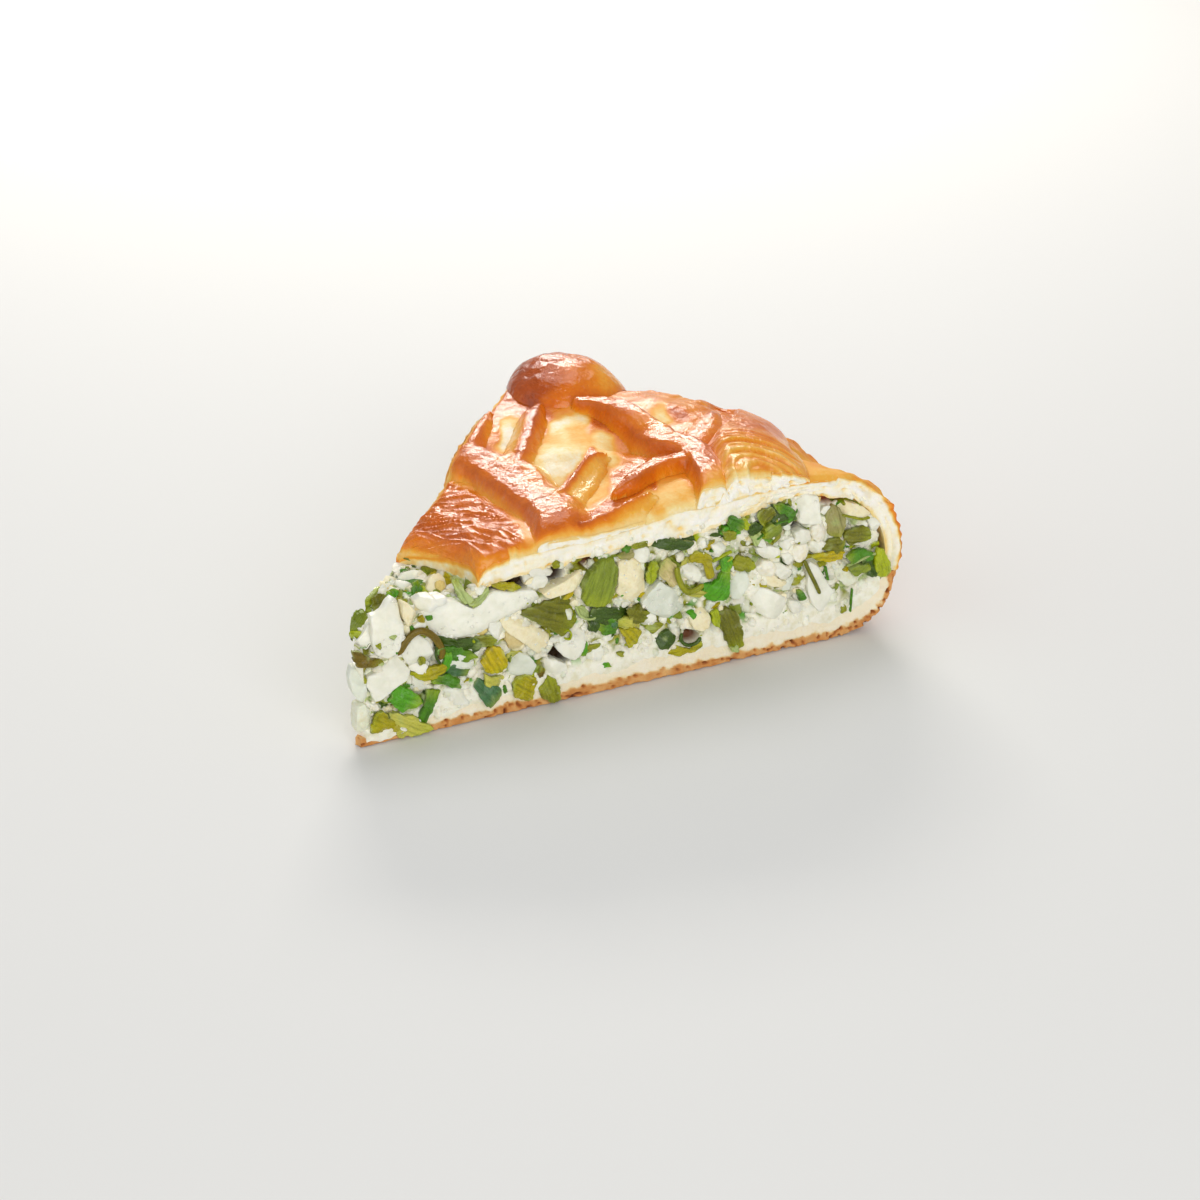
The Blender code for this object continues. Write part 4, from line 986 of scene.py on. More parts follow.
def add_band(name, ridges, seed, node):
    """A slashed band of dough: ridges that run into each other, steep where they were cut."""
    reach = np.concatenate([np.array(path, float)[:, 0] for path, *_ in ridges])
    low, high = reach.min() - 9, reach.max() + 9
    around = int(math.radians(2 * HALF_ANGLE) * 0.5 * (low + high) / BAND_STEP)
    deselect()
    bpy.ops.mesh.primitive_grid_add(x_subdivisions=around, size=1, location=(0, 0, 0),
                                    y_subdivisions=int((high - low) / BAND_STEP))
    piece = bpy.context.object
    piece.name = piece.data.name = name
    share = coordinates(piece.data)[:, :2] + 0.5
    angle, r = HALF_ANGLE * (2 * share[:, 0] - 1), low + (high - low) * share[:, 1]
    points = pie_point(r, angle, 0)
    wander = 0.5 * np.stack([ripple(points, 5, seed + k) for k in (0, 1)], axis=-1)
    rise, baked = ridge_rise(points[:, :2] + wander, ridges)
    if low < VENT_RADIUS + 30:
        rise = rise * (1 - 0.62 * np.exp(-(edge_away(r, angle) / 4.5) ** 2) * (angle > 0))
    keep = rise > 0.04
    ground = lid_top(r, angle)
    fine = 0.10 * crumple(points, 3, seed + 3) + 0.05 * ripple(points, 0.9, seed + 4)
    points[:, 2] = ground + rise * (1 + 0.10 * ripple(points, 6, seed + 2)) + fine - 0.12
    set_coordinates(piece.data, points)
    mark(piece.data, "keep", keep.astype(float))
    mark(piece.data, "ground", ground)
    mark(piece.data, "baked", baked)
    mark(piece.data, "top", points[:, 2])
    bpy.ops.object.mode_set(mode="EDIT")
    select(piece, "VERT", lambda number: number < 0.5, "keep")
    bpy.ops.mesh.delete(type="VERT")
    bpy.ops.mesh.select_all(action="SELECT")
    bpy.ops.mesh.extrude_region_move(TRANSFORM_OT_translate={"value": (0, 0, 0)})
    form = bmesh.from_edit_mesh(piece.data)
    ground_at = form.verts.layers.float["ground"]
    for vert in form.verts:
        if not vert.select:
            vert.co.z = vert[ground_at] - ROOTED
    bmesh.update_edit_mesh(piece.data)
    select(piece, "EDGE", upright_at_cut)
    bpy.ops.mesh.subdivide(number_cuts=11)
    bpy.ops.object.mode_set(mode="OBJECT")
    points = coordinates(piece.data)
    r, angle = polar(points)
    high = points[:, 2] > lid_top(r, angle) - 0.6
    baked = stored(piece.data, "baked") + 0.06 * crumple(points, 8, 39)
    tone = np.where(high, 0.5 * baked + 0.5 * browned(points, baked, 1.0), 0.06)
    border = worn_edge(points, r, angle) ** 1.5 * (r < 112)
    tone = tone + (0.14 - tone) * 0.8 * border
    sunk = np.maximum(stored(piece.data, "top") - points[:, 2], 0)
    at_cut = (edge_away(r, angle) < 1e-3) & (sunk > 0.02)
    rough, flakes, pores = torn_crumb(r, sunk, 2)
    outward = np.where(angle[:, None] > 0, RIGHT_CUT.out, LEFT_CUT.out)
    points += outward * (at_cut * rough)[:, None]
    skin = np.exp(-(sunk / np.maximum(0.7 + 0.4 * crumple(points, 3.5, 38), 0.25)) ** 2)
    pale = crumb_tone(points, flakes, pores)
    tone = np.where(at_cut, pale + (0.2 - pale) * skin, tone)
    points[:, 2] -= np.where(sunk < 0.02, 0.9 * border ** 2, 0)
    bake(piece, points, tone, np.where(at_cut, 1.0, np.where(high, 0.6 * border, 0.7)),
         np.where(high, 0.82 * (1 - border), 0.0), "glazed_dough", node)


def add_bun():
    """Bun on the rim: a puffed cushion of dough, dark where it stood nearest the heat."""
    deselect()
    bpy.ops.mesh.primitive_uv_sphere_add(segments=96, ring_count=64, radius=1)
    piece = bpy.context.object
    piece.name = piece.data.name = "rim_bun_baked"
    ball = coordinates(piece.data)
    turn = np.arctan2(ball[:, 1], ball[:, 0])
    polar_share = np.arccos(np.clip(ball[:, 2], -1, 1)) / math.pi
    top = polar_share <= 0.5
    reach = np.where(top, polar_share * 2, 2 - polar_share * 2)
    r = BUN_R + reach * BUN_REACH * np.cos(turn)
    angle = BUN_ANGLE + np.degrees(reach * BUN_WIDTH * np.sin(turn) / BUN_R)
    ground = lid_top(r, angle)
    puff = BUN_HEIGHT * np.maximum(1 - reach ** 2.4, 0) ** 0.8
    z = np.where(top, ground + puff, ground - ROOTED * np.sqrt(np.maximum(1 - reach ** 2, 0)))
    points = pie_point(r, angle, z)
    lumps = 0.55 * crumple(points, 9, 41) + 0.12 * crumple(points, 2.2, 42)
    points[:, 2] += np.where(top, lumps * np.minimum(puff / 3, 1), 0)
    points = within_cuts(points, 0.0)
    tone = browned(points, 0.62 + 0.12 * crumple(points, 9, 43), np.where(top, 1.0, 0.0))
    bake(piece, points, tone, np.zeros(len(points)), np.full(len(points), 0.9), "glazed_dough",
         "rim_bun")


def add_fold():
    """Fold of dough on the rim, its front drawn into curved pleats."""
    piece = block("rim_fold_baked", FOLD_SPLITS)
    along, across, up = coordinates(piece.data).T
    shares = np.linspace(0, 1, 400)
    at_cut = np.interp(HALF_ANGLE, along_curve(FOLD_INNER, shares)[:, 0], shares)
    along = along * at_cut
    inner = along_curve(FOLD_INNER, along)
    outer = along_curve(FOLD_OUTER, along)
    angle = inner[:, 0]
    r = inner[:, 1] + (outer[:, 1] - inner[:, 1]) * across
    ground = lid_top(r, angle)
    height = along_curve([(h, 0) for h in FOLD_HEIGHTS], along)[:, 0]
    roundness = along_curve([(n, 0) for n in FOLD_ROUND], along)[:, 0]
    swell = smooth_step(-0.03, 0.24, across) * np.maximum(1 - across, 0) ** roundness
    points = pie_point(r, angle, ground)
    flat = points * (1, 1, 0)
    sideways = np.radians(angle - PLEAT_ANGLE) * PLEAT_R
    away = np.hypot(r - PLEAT_R, 0.75 * sideways) + 0.7 * crumple(flat, 9, 51)
    front = smooth_step(0.0, 0.3, across) * smooth_step(1.0, 0.85, across)
    pleats = np.interp(away, PLEAT_AT, PLEAT_RISE) * front
    body = height * swell + (pleats + 0.2 * crumple(points, 5, 52)) * np.minimum(swell * 2, 1)
    body = np.maximum(body, 0) * smooth_step(0, 0.03, across) * smooth_step(1, 0.97, across)
    worn = worn_edge(points, r, angle) ** 1.5 * (r < 108)
    body = body - 0.9 * worn ** 2 * np.minimum(body, 1)
    points[:, 2] = ground - ROOTED + (body + ROOTED) * up
    cut = along > at_cut - 1e-4
    rough, flakes, pores = torn_crumb(r, (1 - up) * (body + ROOTED), 3)
    points += RIGHT_CUT.out * (np.where(cut, rough, 0) * (up < 0.999))[:, None]
    top = up > 0.9
    tone = browned(points, 0.50 + 0.1 * crumple(points, 9, 53), np.where(top, 0.6, 0.5))
    pleated = smooth_step(25, 20.5, away) * front
    tone = tone + (np.interp(away, PLEAT_AT, PLEAT_TONE) + 0.05 * crumple(points, 4, 54)
                   - tone) * 0.75 * pleated
    tone = tone + (0.12 - tone) * 0.85 * worn
    pale = crumb_tone(points, flakes, pores)
    skin = np.exp(-((1 - up) * (body + ROOTED) / 0.7) ** 2)
    tone = np.where(cut & (up < 0.999), pale + (0.2 - pale) * skin, tone)
    bake(piece, points, tone, np.where(cut, 1.0, np.where(top, 0.6 * worn, 0.5)),
         np.where(top, 0.7 * (1 - worn), 0.0), "glazed_dough", "rim_fold")


# Filling

def colour(text, share=1.0):
    """Linear colour of an sRGB hex code, made darker or lighter by share."""
    parts = [int(text[k:k + 2], 16) / 255 for k in (1, 3, 5)]
    linear = [(c / 12.92 if c <= 0.04045 else ((c + 0.055) / 1.055) ** 2.4) for c in parts]
    return tuple(min(c * share, 1.0) for c in linear) + (1.0,)


def inset_point(r, angle_share, inset):
    """Points at r along the cuts and a share from 0, left, to 1, right, between them."""
    left = LEFT_CUT.points(-r, r * 0, -inset)
    right = RIGHT_CUT.points(r, r * 0, -inset)
    return left + (right - left) * angle_share[:, None]


def roof(r, angle):
    """Top of the filling: the heap in the vent, and then the underside of the lid."""
    heap = np.interp(r, HEAP_AT, HEAP)
    return np.where(r < VENT_RADIUS - 1, heap, lid_underside(r, angle) + 0.2)


# What the bits in the filling are of, by how often they come
BITS = ("curd",) * 8 + ("white",) * 5 + ("grey",) * 3 + ("cream",) * 3 + (
    "pale", "pale", "pale_green", "pale_green", "pale_green", "olive", "olive", "green", "moss",
    "moss", "bright", "olive_dark", "dark", "lime", "yellow_olive", "moss", "olive", "pale")


def chopped(p, q, seed, spacing):
    """Bits cut small and pressed together: for points of a face, height and tint of the bit."""
    chance = np.random.RandomState(seed)
    wide, tall = spacing * 1.25, spacing * 0.85
    across, up = np.meshgrid(np.arange(-3, 142, wide), np.arange(-3, 46, tall))
    seeds = np.stack((across.ravel(), up.ravel()), axis=1)
    seeds += (chance.random_sample(seeds.shape) - 0.5) * (wide, tall) * 1.3
    tilt = chance.normal(size=seeds.shape) * 0.22
    level = chance.uniform(-1.0, 0.4, len(seeds))
    kinds = chance.randint(0, len(BITS), len(seeds))
    tints = np.array([colour(TINTS[name]) for name in BITS])[kinds]
    tints[:, :3] *= chance.uniform(0.86, 1.08, (len(seeds), 1))
    flat = np.stack((p, q, p * 0 + seed), axis=-1)
    warped = np.stack((p + 0.9 * crumple(flat, 4, 75) + 0.25 * ripple(flat, 1.1, 77),
                       q + 0.9 * crumple(flat, 4, 76) + 0.25 * ripple(flat, 1.1, 78)), axis=-1)
    height, tint = np.zeros(len(p)), np.zeros((len(p), 4))
    for start in range(0, len(p), 4000):
        rows = slice(start, start + 4000)
        gap = (warped[rows, None] - seeds) * (1, 1.35)
        away = np.einsum("ijk,ijk->ij", gap, gap)
        two = np.argpartition(away, 1, axis=1)[:, :2]
        pair = np.sqrt(np.take_along_axis(away, two, axis=1))
        first = np.argmin(pair, axis=1)
        own = two[np.arange(len(two)), first]
        margin = np.abs(pair[:, 1] - pair[:, 0])
        offset = warped[rows] - seeds[own]
        height[rows] = (level[own] + np.sum(tilt[own] * offset, axis=1)
                        - 0.75 * np.exp(-(margin / 0.4) ** 2))
        # Painted shade: each bit is darkened along its border with the next, in the crease between them.
        tint[rows] = tints[own] * (1 - 0.2 * np.exp(-(margin / 0.3) ** 2))[:, None]
    tint[:, 3] = 1
    return height, tint


def hollows_and_painted_shade(p, q):
    """Share of each of the hollows at points of the right cut, and the tint of the painted shade that
    darkens them.
    """
    depth, tint = np.zeros(len(p)), np.zeros((len(p), 4))
    for name, pixels in PAINTED_SHADE_HOLLOWS:
        outline = RIGHT_CUT.seen_at(pixels, 0.0)
        middle, half = outline.mean(axis=0), 0.5 * np.ptp(outline, axis=0) + 0.2
        away = ((p - middle[0]) / half[0]) ** 2 + ((q - middle[1]) / half[1]) ** 2
        share = smooth_step(1.5, 0.5, away)
        tint += np.multiply.outer(share, colour(TINTS[name]))
        depth += share
    return np.minimum(depth, 1), tint / np.maximum(depth, 1e-6)[:, None]


def add_filling(settings):
    """Creamy mass of egg, leaf and sauce that carries all the pieces that show."""
    piece = block("filling_mass", MASS_SPLITS)
    across, along, up = coordinates(piece.data).T
    reach = 3.5 + 135.5 * along
    flat = inset_point(reach, across, reach * 0)
    r, angle = polar(flat)
    smear = 0.9 + 1.3 * (0.5 + ripple(flat, 6, 66)) + 0.5 * ripple(flat, 1.6, 67)
    floor = base_top(np.clip(r, 2, 140))
    low = floor - np.clip(smear, 0.2, 3.0)
    high = roof(np.clip(r, 2, 138.5), angle)
    z = low + (high - low) * up
    above = z - floor
    inset = -0.35 + 0.85 * smooth_step(0.3, 4.5, above) - 0.4 * smooth_step(-3, 0, z - high)
    inset = inset * smooth_step(2, 8, reach)
    points = inset_point(reach, across, inset * np.abs(2 * across - 1) ** 0.5)
    points[:, 2] = z
    lumps = 0.5 * ripple(points, 4.2, 61) + 0.3 * ripple(points, 1.5, 63)
    lumps += 0.3 * np.abs(ripple(points, 0.95, 65))
    firm = 0.15 + 0.85 * smooth_step(1.0, 6.0, above)
    creamy = np.clip(0.5 + 1.1 * crumple(points, 8, 64) - 0.5 * firm + 0.25, 0, 1)
    sauce = np.array(colour(settings.sauce_code))
    tint = np.tile(sauce, (len(points), 1))
    for face, cut, seed in ((across > 1 - 1e-4, RIGHT_CUT, 5), (across < 1e-4, LEFT_CUT, 6)):
        height, bits = chopped(reach[face], z[face], seed, settings.bit_size / MM)
        lie = creamy[face]
        rise = (lumps[face] + height * (1 - 0.7 * lie)) * firm[face]
        points[face] += np.multiply.outer(np.minimum(rise, 1.3), cut.out)
        share = (smooth_step(0.75, 0.35, lie) * smooth_step(1.0, 5.0, above[face]))[:, None]
        tint[face] = sauce + (bits - sauce) * share
    face = across > 1 - 1e-4
    # The hollows are pushed into the mass, and their tint is painted shade.
    depth, dark = hollows_and_painted_shade(reach[face], z[face])
    points[face] -= np.multiply.outer(2.4 * depth, RIGHT_CUT.out)
    tint[face] += (dark - tint[face]) * depth[:, None]
    top = (up > 0.999) & (r < VENT_RADIUS)
    height, bits = chopped(points[top, 0] + 60, points[top, 1], 7, settings.bit_size / MM)
    points[top, 2] += 0.8 * lumps[top] + 0.8 * height
    tint[top] = bits
    set_coordinates(piece.data, to_slice(points))
    mark(piece.data, "tint", tint)
    covered = (up < 1e-3) | ((up > 0.999) & (r > VENT_RADIUS + 4))
    thin(piece, covered & ~at_ends(across))
    finish(piece, sauce_material(), "egg_and_onion", "filling")


def ball_form(rings, segments):
    """Ball primitive as share from pole to pole, turn and faces, to be shaped many times."""
    deselect()
    bpy.ops.mesh.primitive_uv_sphere_add(segments=segments, ring_count=rings, radius=1)
    ball = bpy.context.object
    points = coordinates(ball.data)
    faces = [tuple(face.vertices) for face in ball.data.polygons]
    bpy.data.objects.remove(ball, do_unlink=True)
    share = np.arccos(np.clip(points[:, 2], -1, 1)) / math.pi
    turn = np.arctan2(points[:, 1], points[:, 0]) % (2 * math.pi)
    return share, turn / (2 * math.pi), faces


def joined(name, shapes, faces):
    """One object of many shapes that share one form: points, tint and grain for each."""
    count = len(shapes[0][0])
    every = [tuple(i + count * k for i in face) for k in range(len(shapes)) for face in faces]
    points = np.concatenate([shape[0] for shape in shapes])
    mesh = bpy.data.meshes.new(name)
    mesh.from_pydata(to_slice(points).tolist(), [], every)
    mark(mesh, "tint", np.concatenate([shape[1] for shape in shapes]))
    mark(mesh, "grain", np.concatenate([shape[2] for shape in shapes]))
    piece = bpy.data.objects.new(name, mesh)
    bpy.context.scene.collection.objects.link(piece)
    return piece


def add_pieces(name, shapes, faces, kind):
    """Join shapes into one piece and finish it as what it is of."""
    material, slot = FILLING_KINDS[kind]
    finish(joined(name, shapes, faces), material(), slot)


def rounded(outline):
    """Closed outline with its corners softened, turned the way the angles grow."""
    turning = np.sum(outline[:, 0] * np.roll(outline[:, 1], -1)
                     - np.roll(outline[:, 0], -1) * outline[:, 1])
    outline = outline if turning > 0 else outline[::-1]
    ahead = np.roll(outline, -1, axis=0)
    return np.stack((0.91 * outline + 0.09 * ahead, 0.09 * outline + 0.91 * ahead),
                    axis=1).reshape(-1, 2)


def round_outline(outline, shares):
    """Points at shares of the way round a closed outline."""
    closed = np.vstack((outline, outline[:1]))
    run = np.concatenate(([0], np.cumsum(np.hypot(*np.diff(closed, axis=0).T))))
    return np.stack([np.interp(shares * run[-1], run, closed[:, k]) for k in (0, 1)], axis=1)


# Section of a piece from its front to its back: share of the way, how wide, how far out
CHUNK = ((0, 0.22, 0.34, 0.40, 0.44, 0.48, 0.56, 0.8, 1),
         (0, 0.62, 0.92, 0.975, 1, 1, 0.98, 0.8, 0),
         (1, 1.0, 0.95, 0.8, 0.4, -0.1, -0.4, -0.95, -1))
LEAF = ((0, 0.22, 0.38, 0.45, 0.5, 0.55, 0.62, 0.78, 1),
        (0, 0.55, 0.93, 0.99, 1, 0.99, 0.93, 0.55, 0), (1, 1, 1, 0.8, 0, -0.8, -1, -1, -1))


def slab(form, sheet, outline, out, section, rise, depth, lumps, seed, slope, ragged, facets,
         lift=0.0):
    """A piece with its outline in a sheet: a chunk with cut facets, or a thin leaf."""
    share, turn, _ = form
    outline = rounded(outline)
    edge = round_outline(outline, turn)
    centre = outline.mean(axis=0)
    at, wide, far = section
    width = np.interp(share, at, wide)
    gap = (edge - centre) * width[:, None]
    torn = np.stack((edge[:, 0], edge[:, 1], edge[:, 0] * 0 + seed), axis=-1)
    tears = ragged * (crumple(torn, 1.8, 83, 2) + 0.5 * ripple(torn, 0.6, 84))
    gap *= (1 + tears / np.maximum(np.hypot(*gap.T), 1.0))[:, None]
    out_by = np.interp(share, at, far)
    front = out_by > 0
    spread = outline - centre
    axis = np.linalg.svd(spread, full_matrices=False)[2][0]
    length = max(np.abs(spread @ axis).max(), 0.1)
    lengthwise, sidewise = gap @ axis, gap @ (-axis[1], axis[0])
    out_by = np.where(front, out_by * rise, out_by * depth)
    chance = random.Random(seed)
    for _ in range(facets):
        turned = chance.uniform(0, 2 * math.pi)
        past = gap @ (math.cos(turned), math.sin(turned)) - length * chance.uniform(0.0, 0.45)
        out_by = out_by - np.where(share < 0.6, np.maximum(past, 0), 0) * chance.uniform(0.2, 0.6)
    out_by = out + out_by + lift * (lengthwise / length) ** 2 + gap @ slope
    p = centre[0] + gap[:, 0]
    out_by = out_by - np.maximum(3 - np.abs(p), 0) ** 2 / 12
    points = sheet.points(p, centre[1] + gap[:, 1], out_by)
    grain = crumple(points, 2.6, seed) + 0.35 * ripple(points, 0.8, seed + 1)
    points += np.multiply.outer(lumps * grain, sheet.out)
    points = within_cuts(points, 2.0)
    return (points, np.stack((lengthwise, sidewise, points[:, 2] * 0 + seed), axis=-1),
            smooth_step(0.9, 1.0, width))


def within_cuts(points, margin):
    """Bring points that lie more than a margin past a cut back to it."""
    for cut in (RIGHT_CUT, LEFT_CUT):
        past = np.maximum(points @ cut.out - margin, 0)
        points = points - past[:, None] * cut.out
    return points


def shape_of(made, name, chance, spread=0.07, rim=None):
    """Points, tints and grain of a piece, with creamy smears on its rim where one is given."""
    points, grain, edge = made
    own = np.array(colour(TINTS[name], 1 + spread * (2 * chance.random() - 1)))
    tint = np.tile(own, (len(points), 1))
    if rim:
        length = np.abs(grain[:, 0]).max() * chance.choice((1, -1))
        tip = (0.5 * smooth_step(0.1, 1.0, grain[:, 0] / length))[:, None]
        tint += (np.array(colour(TINTS["lime"])) - tint) * tip * (name != "dark")
        smear = edge * smooth_step(-0.1, 0.5, ripple(points, 2.4, 91))
        smear = np.maximum(0.6 * smear, 0.5 * smooth_step(0.45, 0.75, ripple(points, 3.4, 92)))
        tint += (np.array(colour(TINTS[rim])) - tint) * smear[:, None]
    return points, tint, grain


def strand(form, sheet, path, half, out, thick):
    """A narrow strip of leaf on edge, along a path in a sheet."""
    share, turn, _ = form
    line = along_curve(path, share)
    ahead = (along_curve(path, np.clip(share + 0.02, 0, 1))
             - along_curve(path, np.clip(share - 0.02, 0, 1)))
    ahead /= np.maximum(np.linalg.norm(ahead, axis=1), 1e-6)[:, None]
    taper = np.minimum(1, np.sin(math.pi * np.clip(share, 0, 1)) * 4) ** 0.6
    side = np.cos(2 * math.pi * turn) * half * taper
    front = np.sin(2 * math.pi * turn) * thick * taper
    p = line[:, 0] - ahead[:, 1] * side
    q = line[:, 1] + ahead[:, 0] * side
    points = sheet.points(p, q, out + front)
    return points, np.stack((share * 20, side, share * 0), axis=-1), share * 0


HEAP_SHEET = Sheet((0, 0, HEAP[0] - 0.9), (1, 0, 0),
                   (0, HEAP_AT[3] - HEAP_AT[0], HEAP[3] - HEAP[0]))


def carried(pixels, out):
    """The sheet that a piece seen at the pixels lies on, and its outline there."""
    outline = RIGHT_CUT.seen_at(pixels, out)
    r, q = outline.mean(axis=0)
    if r < VENT_RADIUS + 4 and q > float(np.interp(r, HEAP_AT, HEAP)) + 1.0:
        spot = HEAP_SHEET.seen_at(pixels, out + 0.6).mean(axis=0)
        place = HEAP_SHEET.points(spot[0], spot[1], 0.3) - 20 * RIGHT_CUT.along
        tilted = Sheet(place, RIGHT_CUT.along, np.array((0, 0, 1)) - 0.7 * RIGHT_CUT.out)
        return tilted, tilted.seen_at(pixels, out)
    return RIGHT_CUT, outline


def shown(rows):
    """Each piece that shows: its number, tint, stand-out, sheet, outline there and size."""
    for number, (tint, out, pixels) in enumerate(rows):
        sheet, outline = carried(pixels, out)
        yield number, tint, out, sheet, outline, math.sqrt(np.prod(np.ptp(outline, axis=0)))


def tilt(chance, most):
    """Random slopes of a piece's face, along its sheet and up it."""
    return [most * (2 * chance.random() - 1) for _ in range(2)]


def add_shown_egg(settings):
    """Chopped boiled egg at the right cut, white and yolk, each lump as it lies."""
    chance = random.Random(11)
    form = ball_form(*CHUNK_FORM)
    whites, yolks = [], []
    for number, tint, out, sheet, outline, size in shown(SHOWN_EGG):
        made = slab(form, sheet, outline, out, CHUNK, min(settings.egg_rise / MM, 0.22 * size),
                    settings.egg_depth / MM, lumps=0.16, seed=number, slope=tilt(chance, 0.12),
                    ragged=0.2, facets=4)
        group = whites if tint in ("white", "grey") else yolks
        group.append(shape_of(made, tint, chance, 0.04))
    add_pieces("egg_white_chunks", whites, form[2], "egg")
    add_pieces("egg_yolk_chunks", yolks, form[2], "yolk")


def add_shown_leaves(settings):
    """Wilted onion leaf at the right cut: flat pieces, rolled ones and cut edges."""
    chance = random.Random(12)
    form = ball_form(*CHUNK_FORM)
    leaves = []
    for number, tint, out, sheet, outline, size in shown(SHOWN_LEAVES):
        rolled = tint == "moss"
        lift = min(0.16 * size, 1.2) * (-1 if rolled else chance.choice((-1, -0.4, 0.5, 0.8)))
        section, rise, depth = (CHUNK, 1.0, 3.5) if rolled else (LEAF, 0.3, settings.leaf_depth / MM)
        made = slab(form, sheet, outline, out, section, rise, depth, lumps=0.42,
                    seed=100 + number, lift=lift, slope=tilt(chance, 0.14), ragged=0.5, facets=1)
        leaves.append(shape_of(made, tint, chance, 0.07, "pale_green"))
    add_pieces("onion_leaves", leaves, form[2], "leaf")
    form = ball_form(*STRIP_FORM)
    strips = []
    for tint, out, half, pixels in SHOWN_STRIPS:
        sheet, path = carried(pixels, out)
        strips.append(shape_of(strand(form, sheet, path, half * 0.25, out, 0.55), tint, chance))
    add_pieces("onion_leaf_edges", strips, form[2], "leaf")


def rough_outline(chance, middle, long, wide, lean_by):
    """Uneven round outline of a torn or chopped piece."""
    corners = chance.randint(4, 7)
    turns = [(k + 0.75 * chance.random()) * 2 * math.pi / corners for k in range(corners)]
    sizes = [0.75 + 0.55 * chance.random() for _ in turns]
    shape = np.array([(long * s * math.cos(t), wide * s * math.sin(t))
                      for t, s in zip(turns, sizes)])
    cosine, sine = math.cos(lean_by), math.sin(lean_by)
    return np.array(middle) + shape @ np.array(((cosine, sine), (-sine, cosine)))


def places(chance, count, gap, low_r, high_r, side):
    """Spots on a cut that lie inside the filling, none nearer to another than gap."""
    spots = []
    for _ in range(count * 30):
        r = chance.uniform(low_r, high_r)
        q = chance.uniform(float(base_top(r)) + 0.8, float(roof(r, side * HALF_ANGLE)) - 0.8)
        if side > 0 and hollows_and_painted_shade(np.array([r]), np.array([q]))[0][0] > 0.3:
            continue
        if all(math.hypot(r - a, q - b) > gap for a, b in spots):
            spots.append((r, q))
        if len(spots) == count:
            break
    return spots


LOOSE = {
    "egg": ("white", "curd") * 3 + ("grey", "grey", "cream"),
    "yolk": ("cream", "yolk", "cream", "curd"),
    "leaf": ("olive", "olive_dark", "green", "moss", "lime", "dark", "yellow_olive", "amber",
             "pale_green", "olive", "olive_dark", "pale_yellow", "moss", "green"),
}


def scatter(sheet, sign, spots, sizes, deep, kinds, chance, form):
    """Rough pieces at the spots, of half lengths and stand-outs in a range, sorted by kind."""
    groups = {kind: [] for kind in LOOSE}
    for number, (r, q) in enumerate(spots):
        kind = chance.choice(kinds)
        leafy = kind == "leaf"
        long = chance.uniform(*sizes)
        wide = long * chance.uniform(0.45, 0.85)
        if leafy:
            long, wide = long * 1.25, wide * 0.75
        outline = rough_outline(chance, (sign * r, q), long, wide, chance.uniform(-0.9, 0.9))
        out = chance.uniform(*deep)
        section, rise, depth, lift = ((LEAF, 0.2, 1.0, 0.1 * long) if leafy
                                      else (CHUNK, min(0.35, 0.2 * long), 3.0, 0.0))
        made = slab(form, sheet, outline, out, section, rise, depth, lumps=0.2,
                    seed=300 + number, lift=lift, slope=tilt(chance, 0.2), ragged=0.4, facets=2)
        groups[kind].append(shape_of(made, chance.choice(LOOSE[kind]), chance, 0.07,
                                     "pale_green" if leafy else None))
    return groups


def add_rubble(settings):
    """Smaller pieces behind the shown ones, and all that shows at the left cut."""
    chance = random.Random(settings.seed)
    small, large = ball_form(*SCRAP_FORM), ball_form(*PIECE_FORM)
    kinds = ("egg", "egg", "yolk", "leaf", "leaf", "leaf")
    spots = places(chance, settings.scraps, gap=2.2, low_r=8, high_r=133, side=1)
    fine = scatter(RIGHT_CUT, 1, spots, (1.3, 3.0), (-1.4, -0.1), kinds, chance, small)
    spots = places(chance, settings.scraps + 60, gap=2.4, low_r=7, high_r=134, side=-1)
    left = scatter(LEFT_CUT, -1, spots, (1.5, 3.4), (-1.3, 0.1), kinds, chance, small)
    spots = places(chance, LEFT_PIECES, gap=6.6, low_r=10, high_r=131, side=-1)
    bold = scatter(LEFT_CUT, -1, spots, (4.0, 8.5), (-0.4, 0.6), kinds[:5], chance, large)
    spots = []
    while len(spots) < HEAP_PIECES:
        r, angle = chance.uniform(6, 30), math.radians(chance.uniform(-21, 21))
        spots.append((r * math.sin(angle), r * math.cos(angle)))
    heap = scatter(HEAP_SHEET, 1, spots, (1.4, 3.6), (-0.2, 0.6), kinds, chance, small)
    for kind in LOOSE:
        add_pieces(kind + "_scraps", fine[kind] + left[kind] + heap[kind], small[2], kind)
        add_pieces(kind + "_left_pieces", bold[kind], large[2], kind)


def small_form(kind):
    """Points and faces of a small ball primitive for crumbs or curds."""
    deselect()
    if kind == "crumb":
        bpy.ops.mesh.primitive_ico_sphere_add(subdivisions=1, radius=1)
    else:
        bpy.ops.mesh.primitive_uv_sphere_add(segments=8, ring_count=6, radius=1)
    ball = bpy.context.object
    form = coordinates(ball.data)
    faces = [tuple(face.vertices) for face in ball.data.polygons]
    bpy.data.objects.remove(ball, do_unlink=True)
    return form, faces


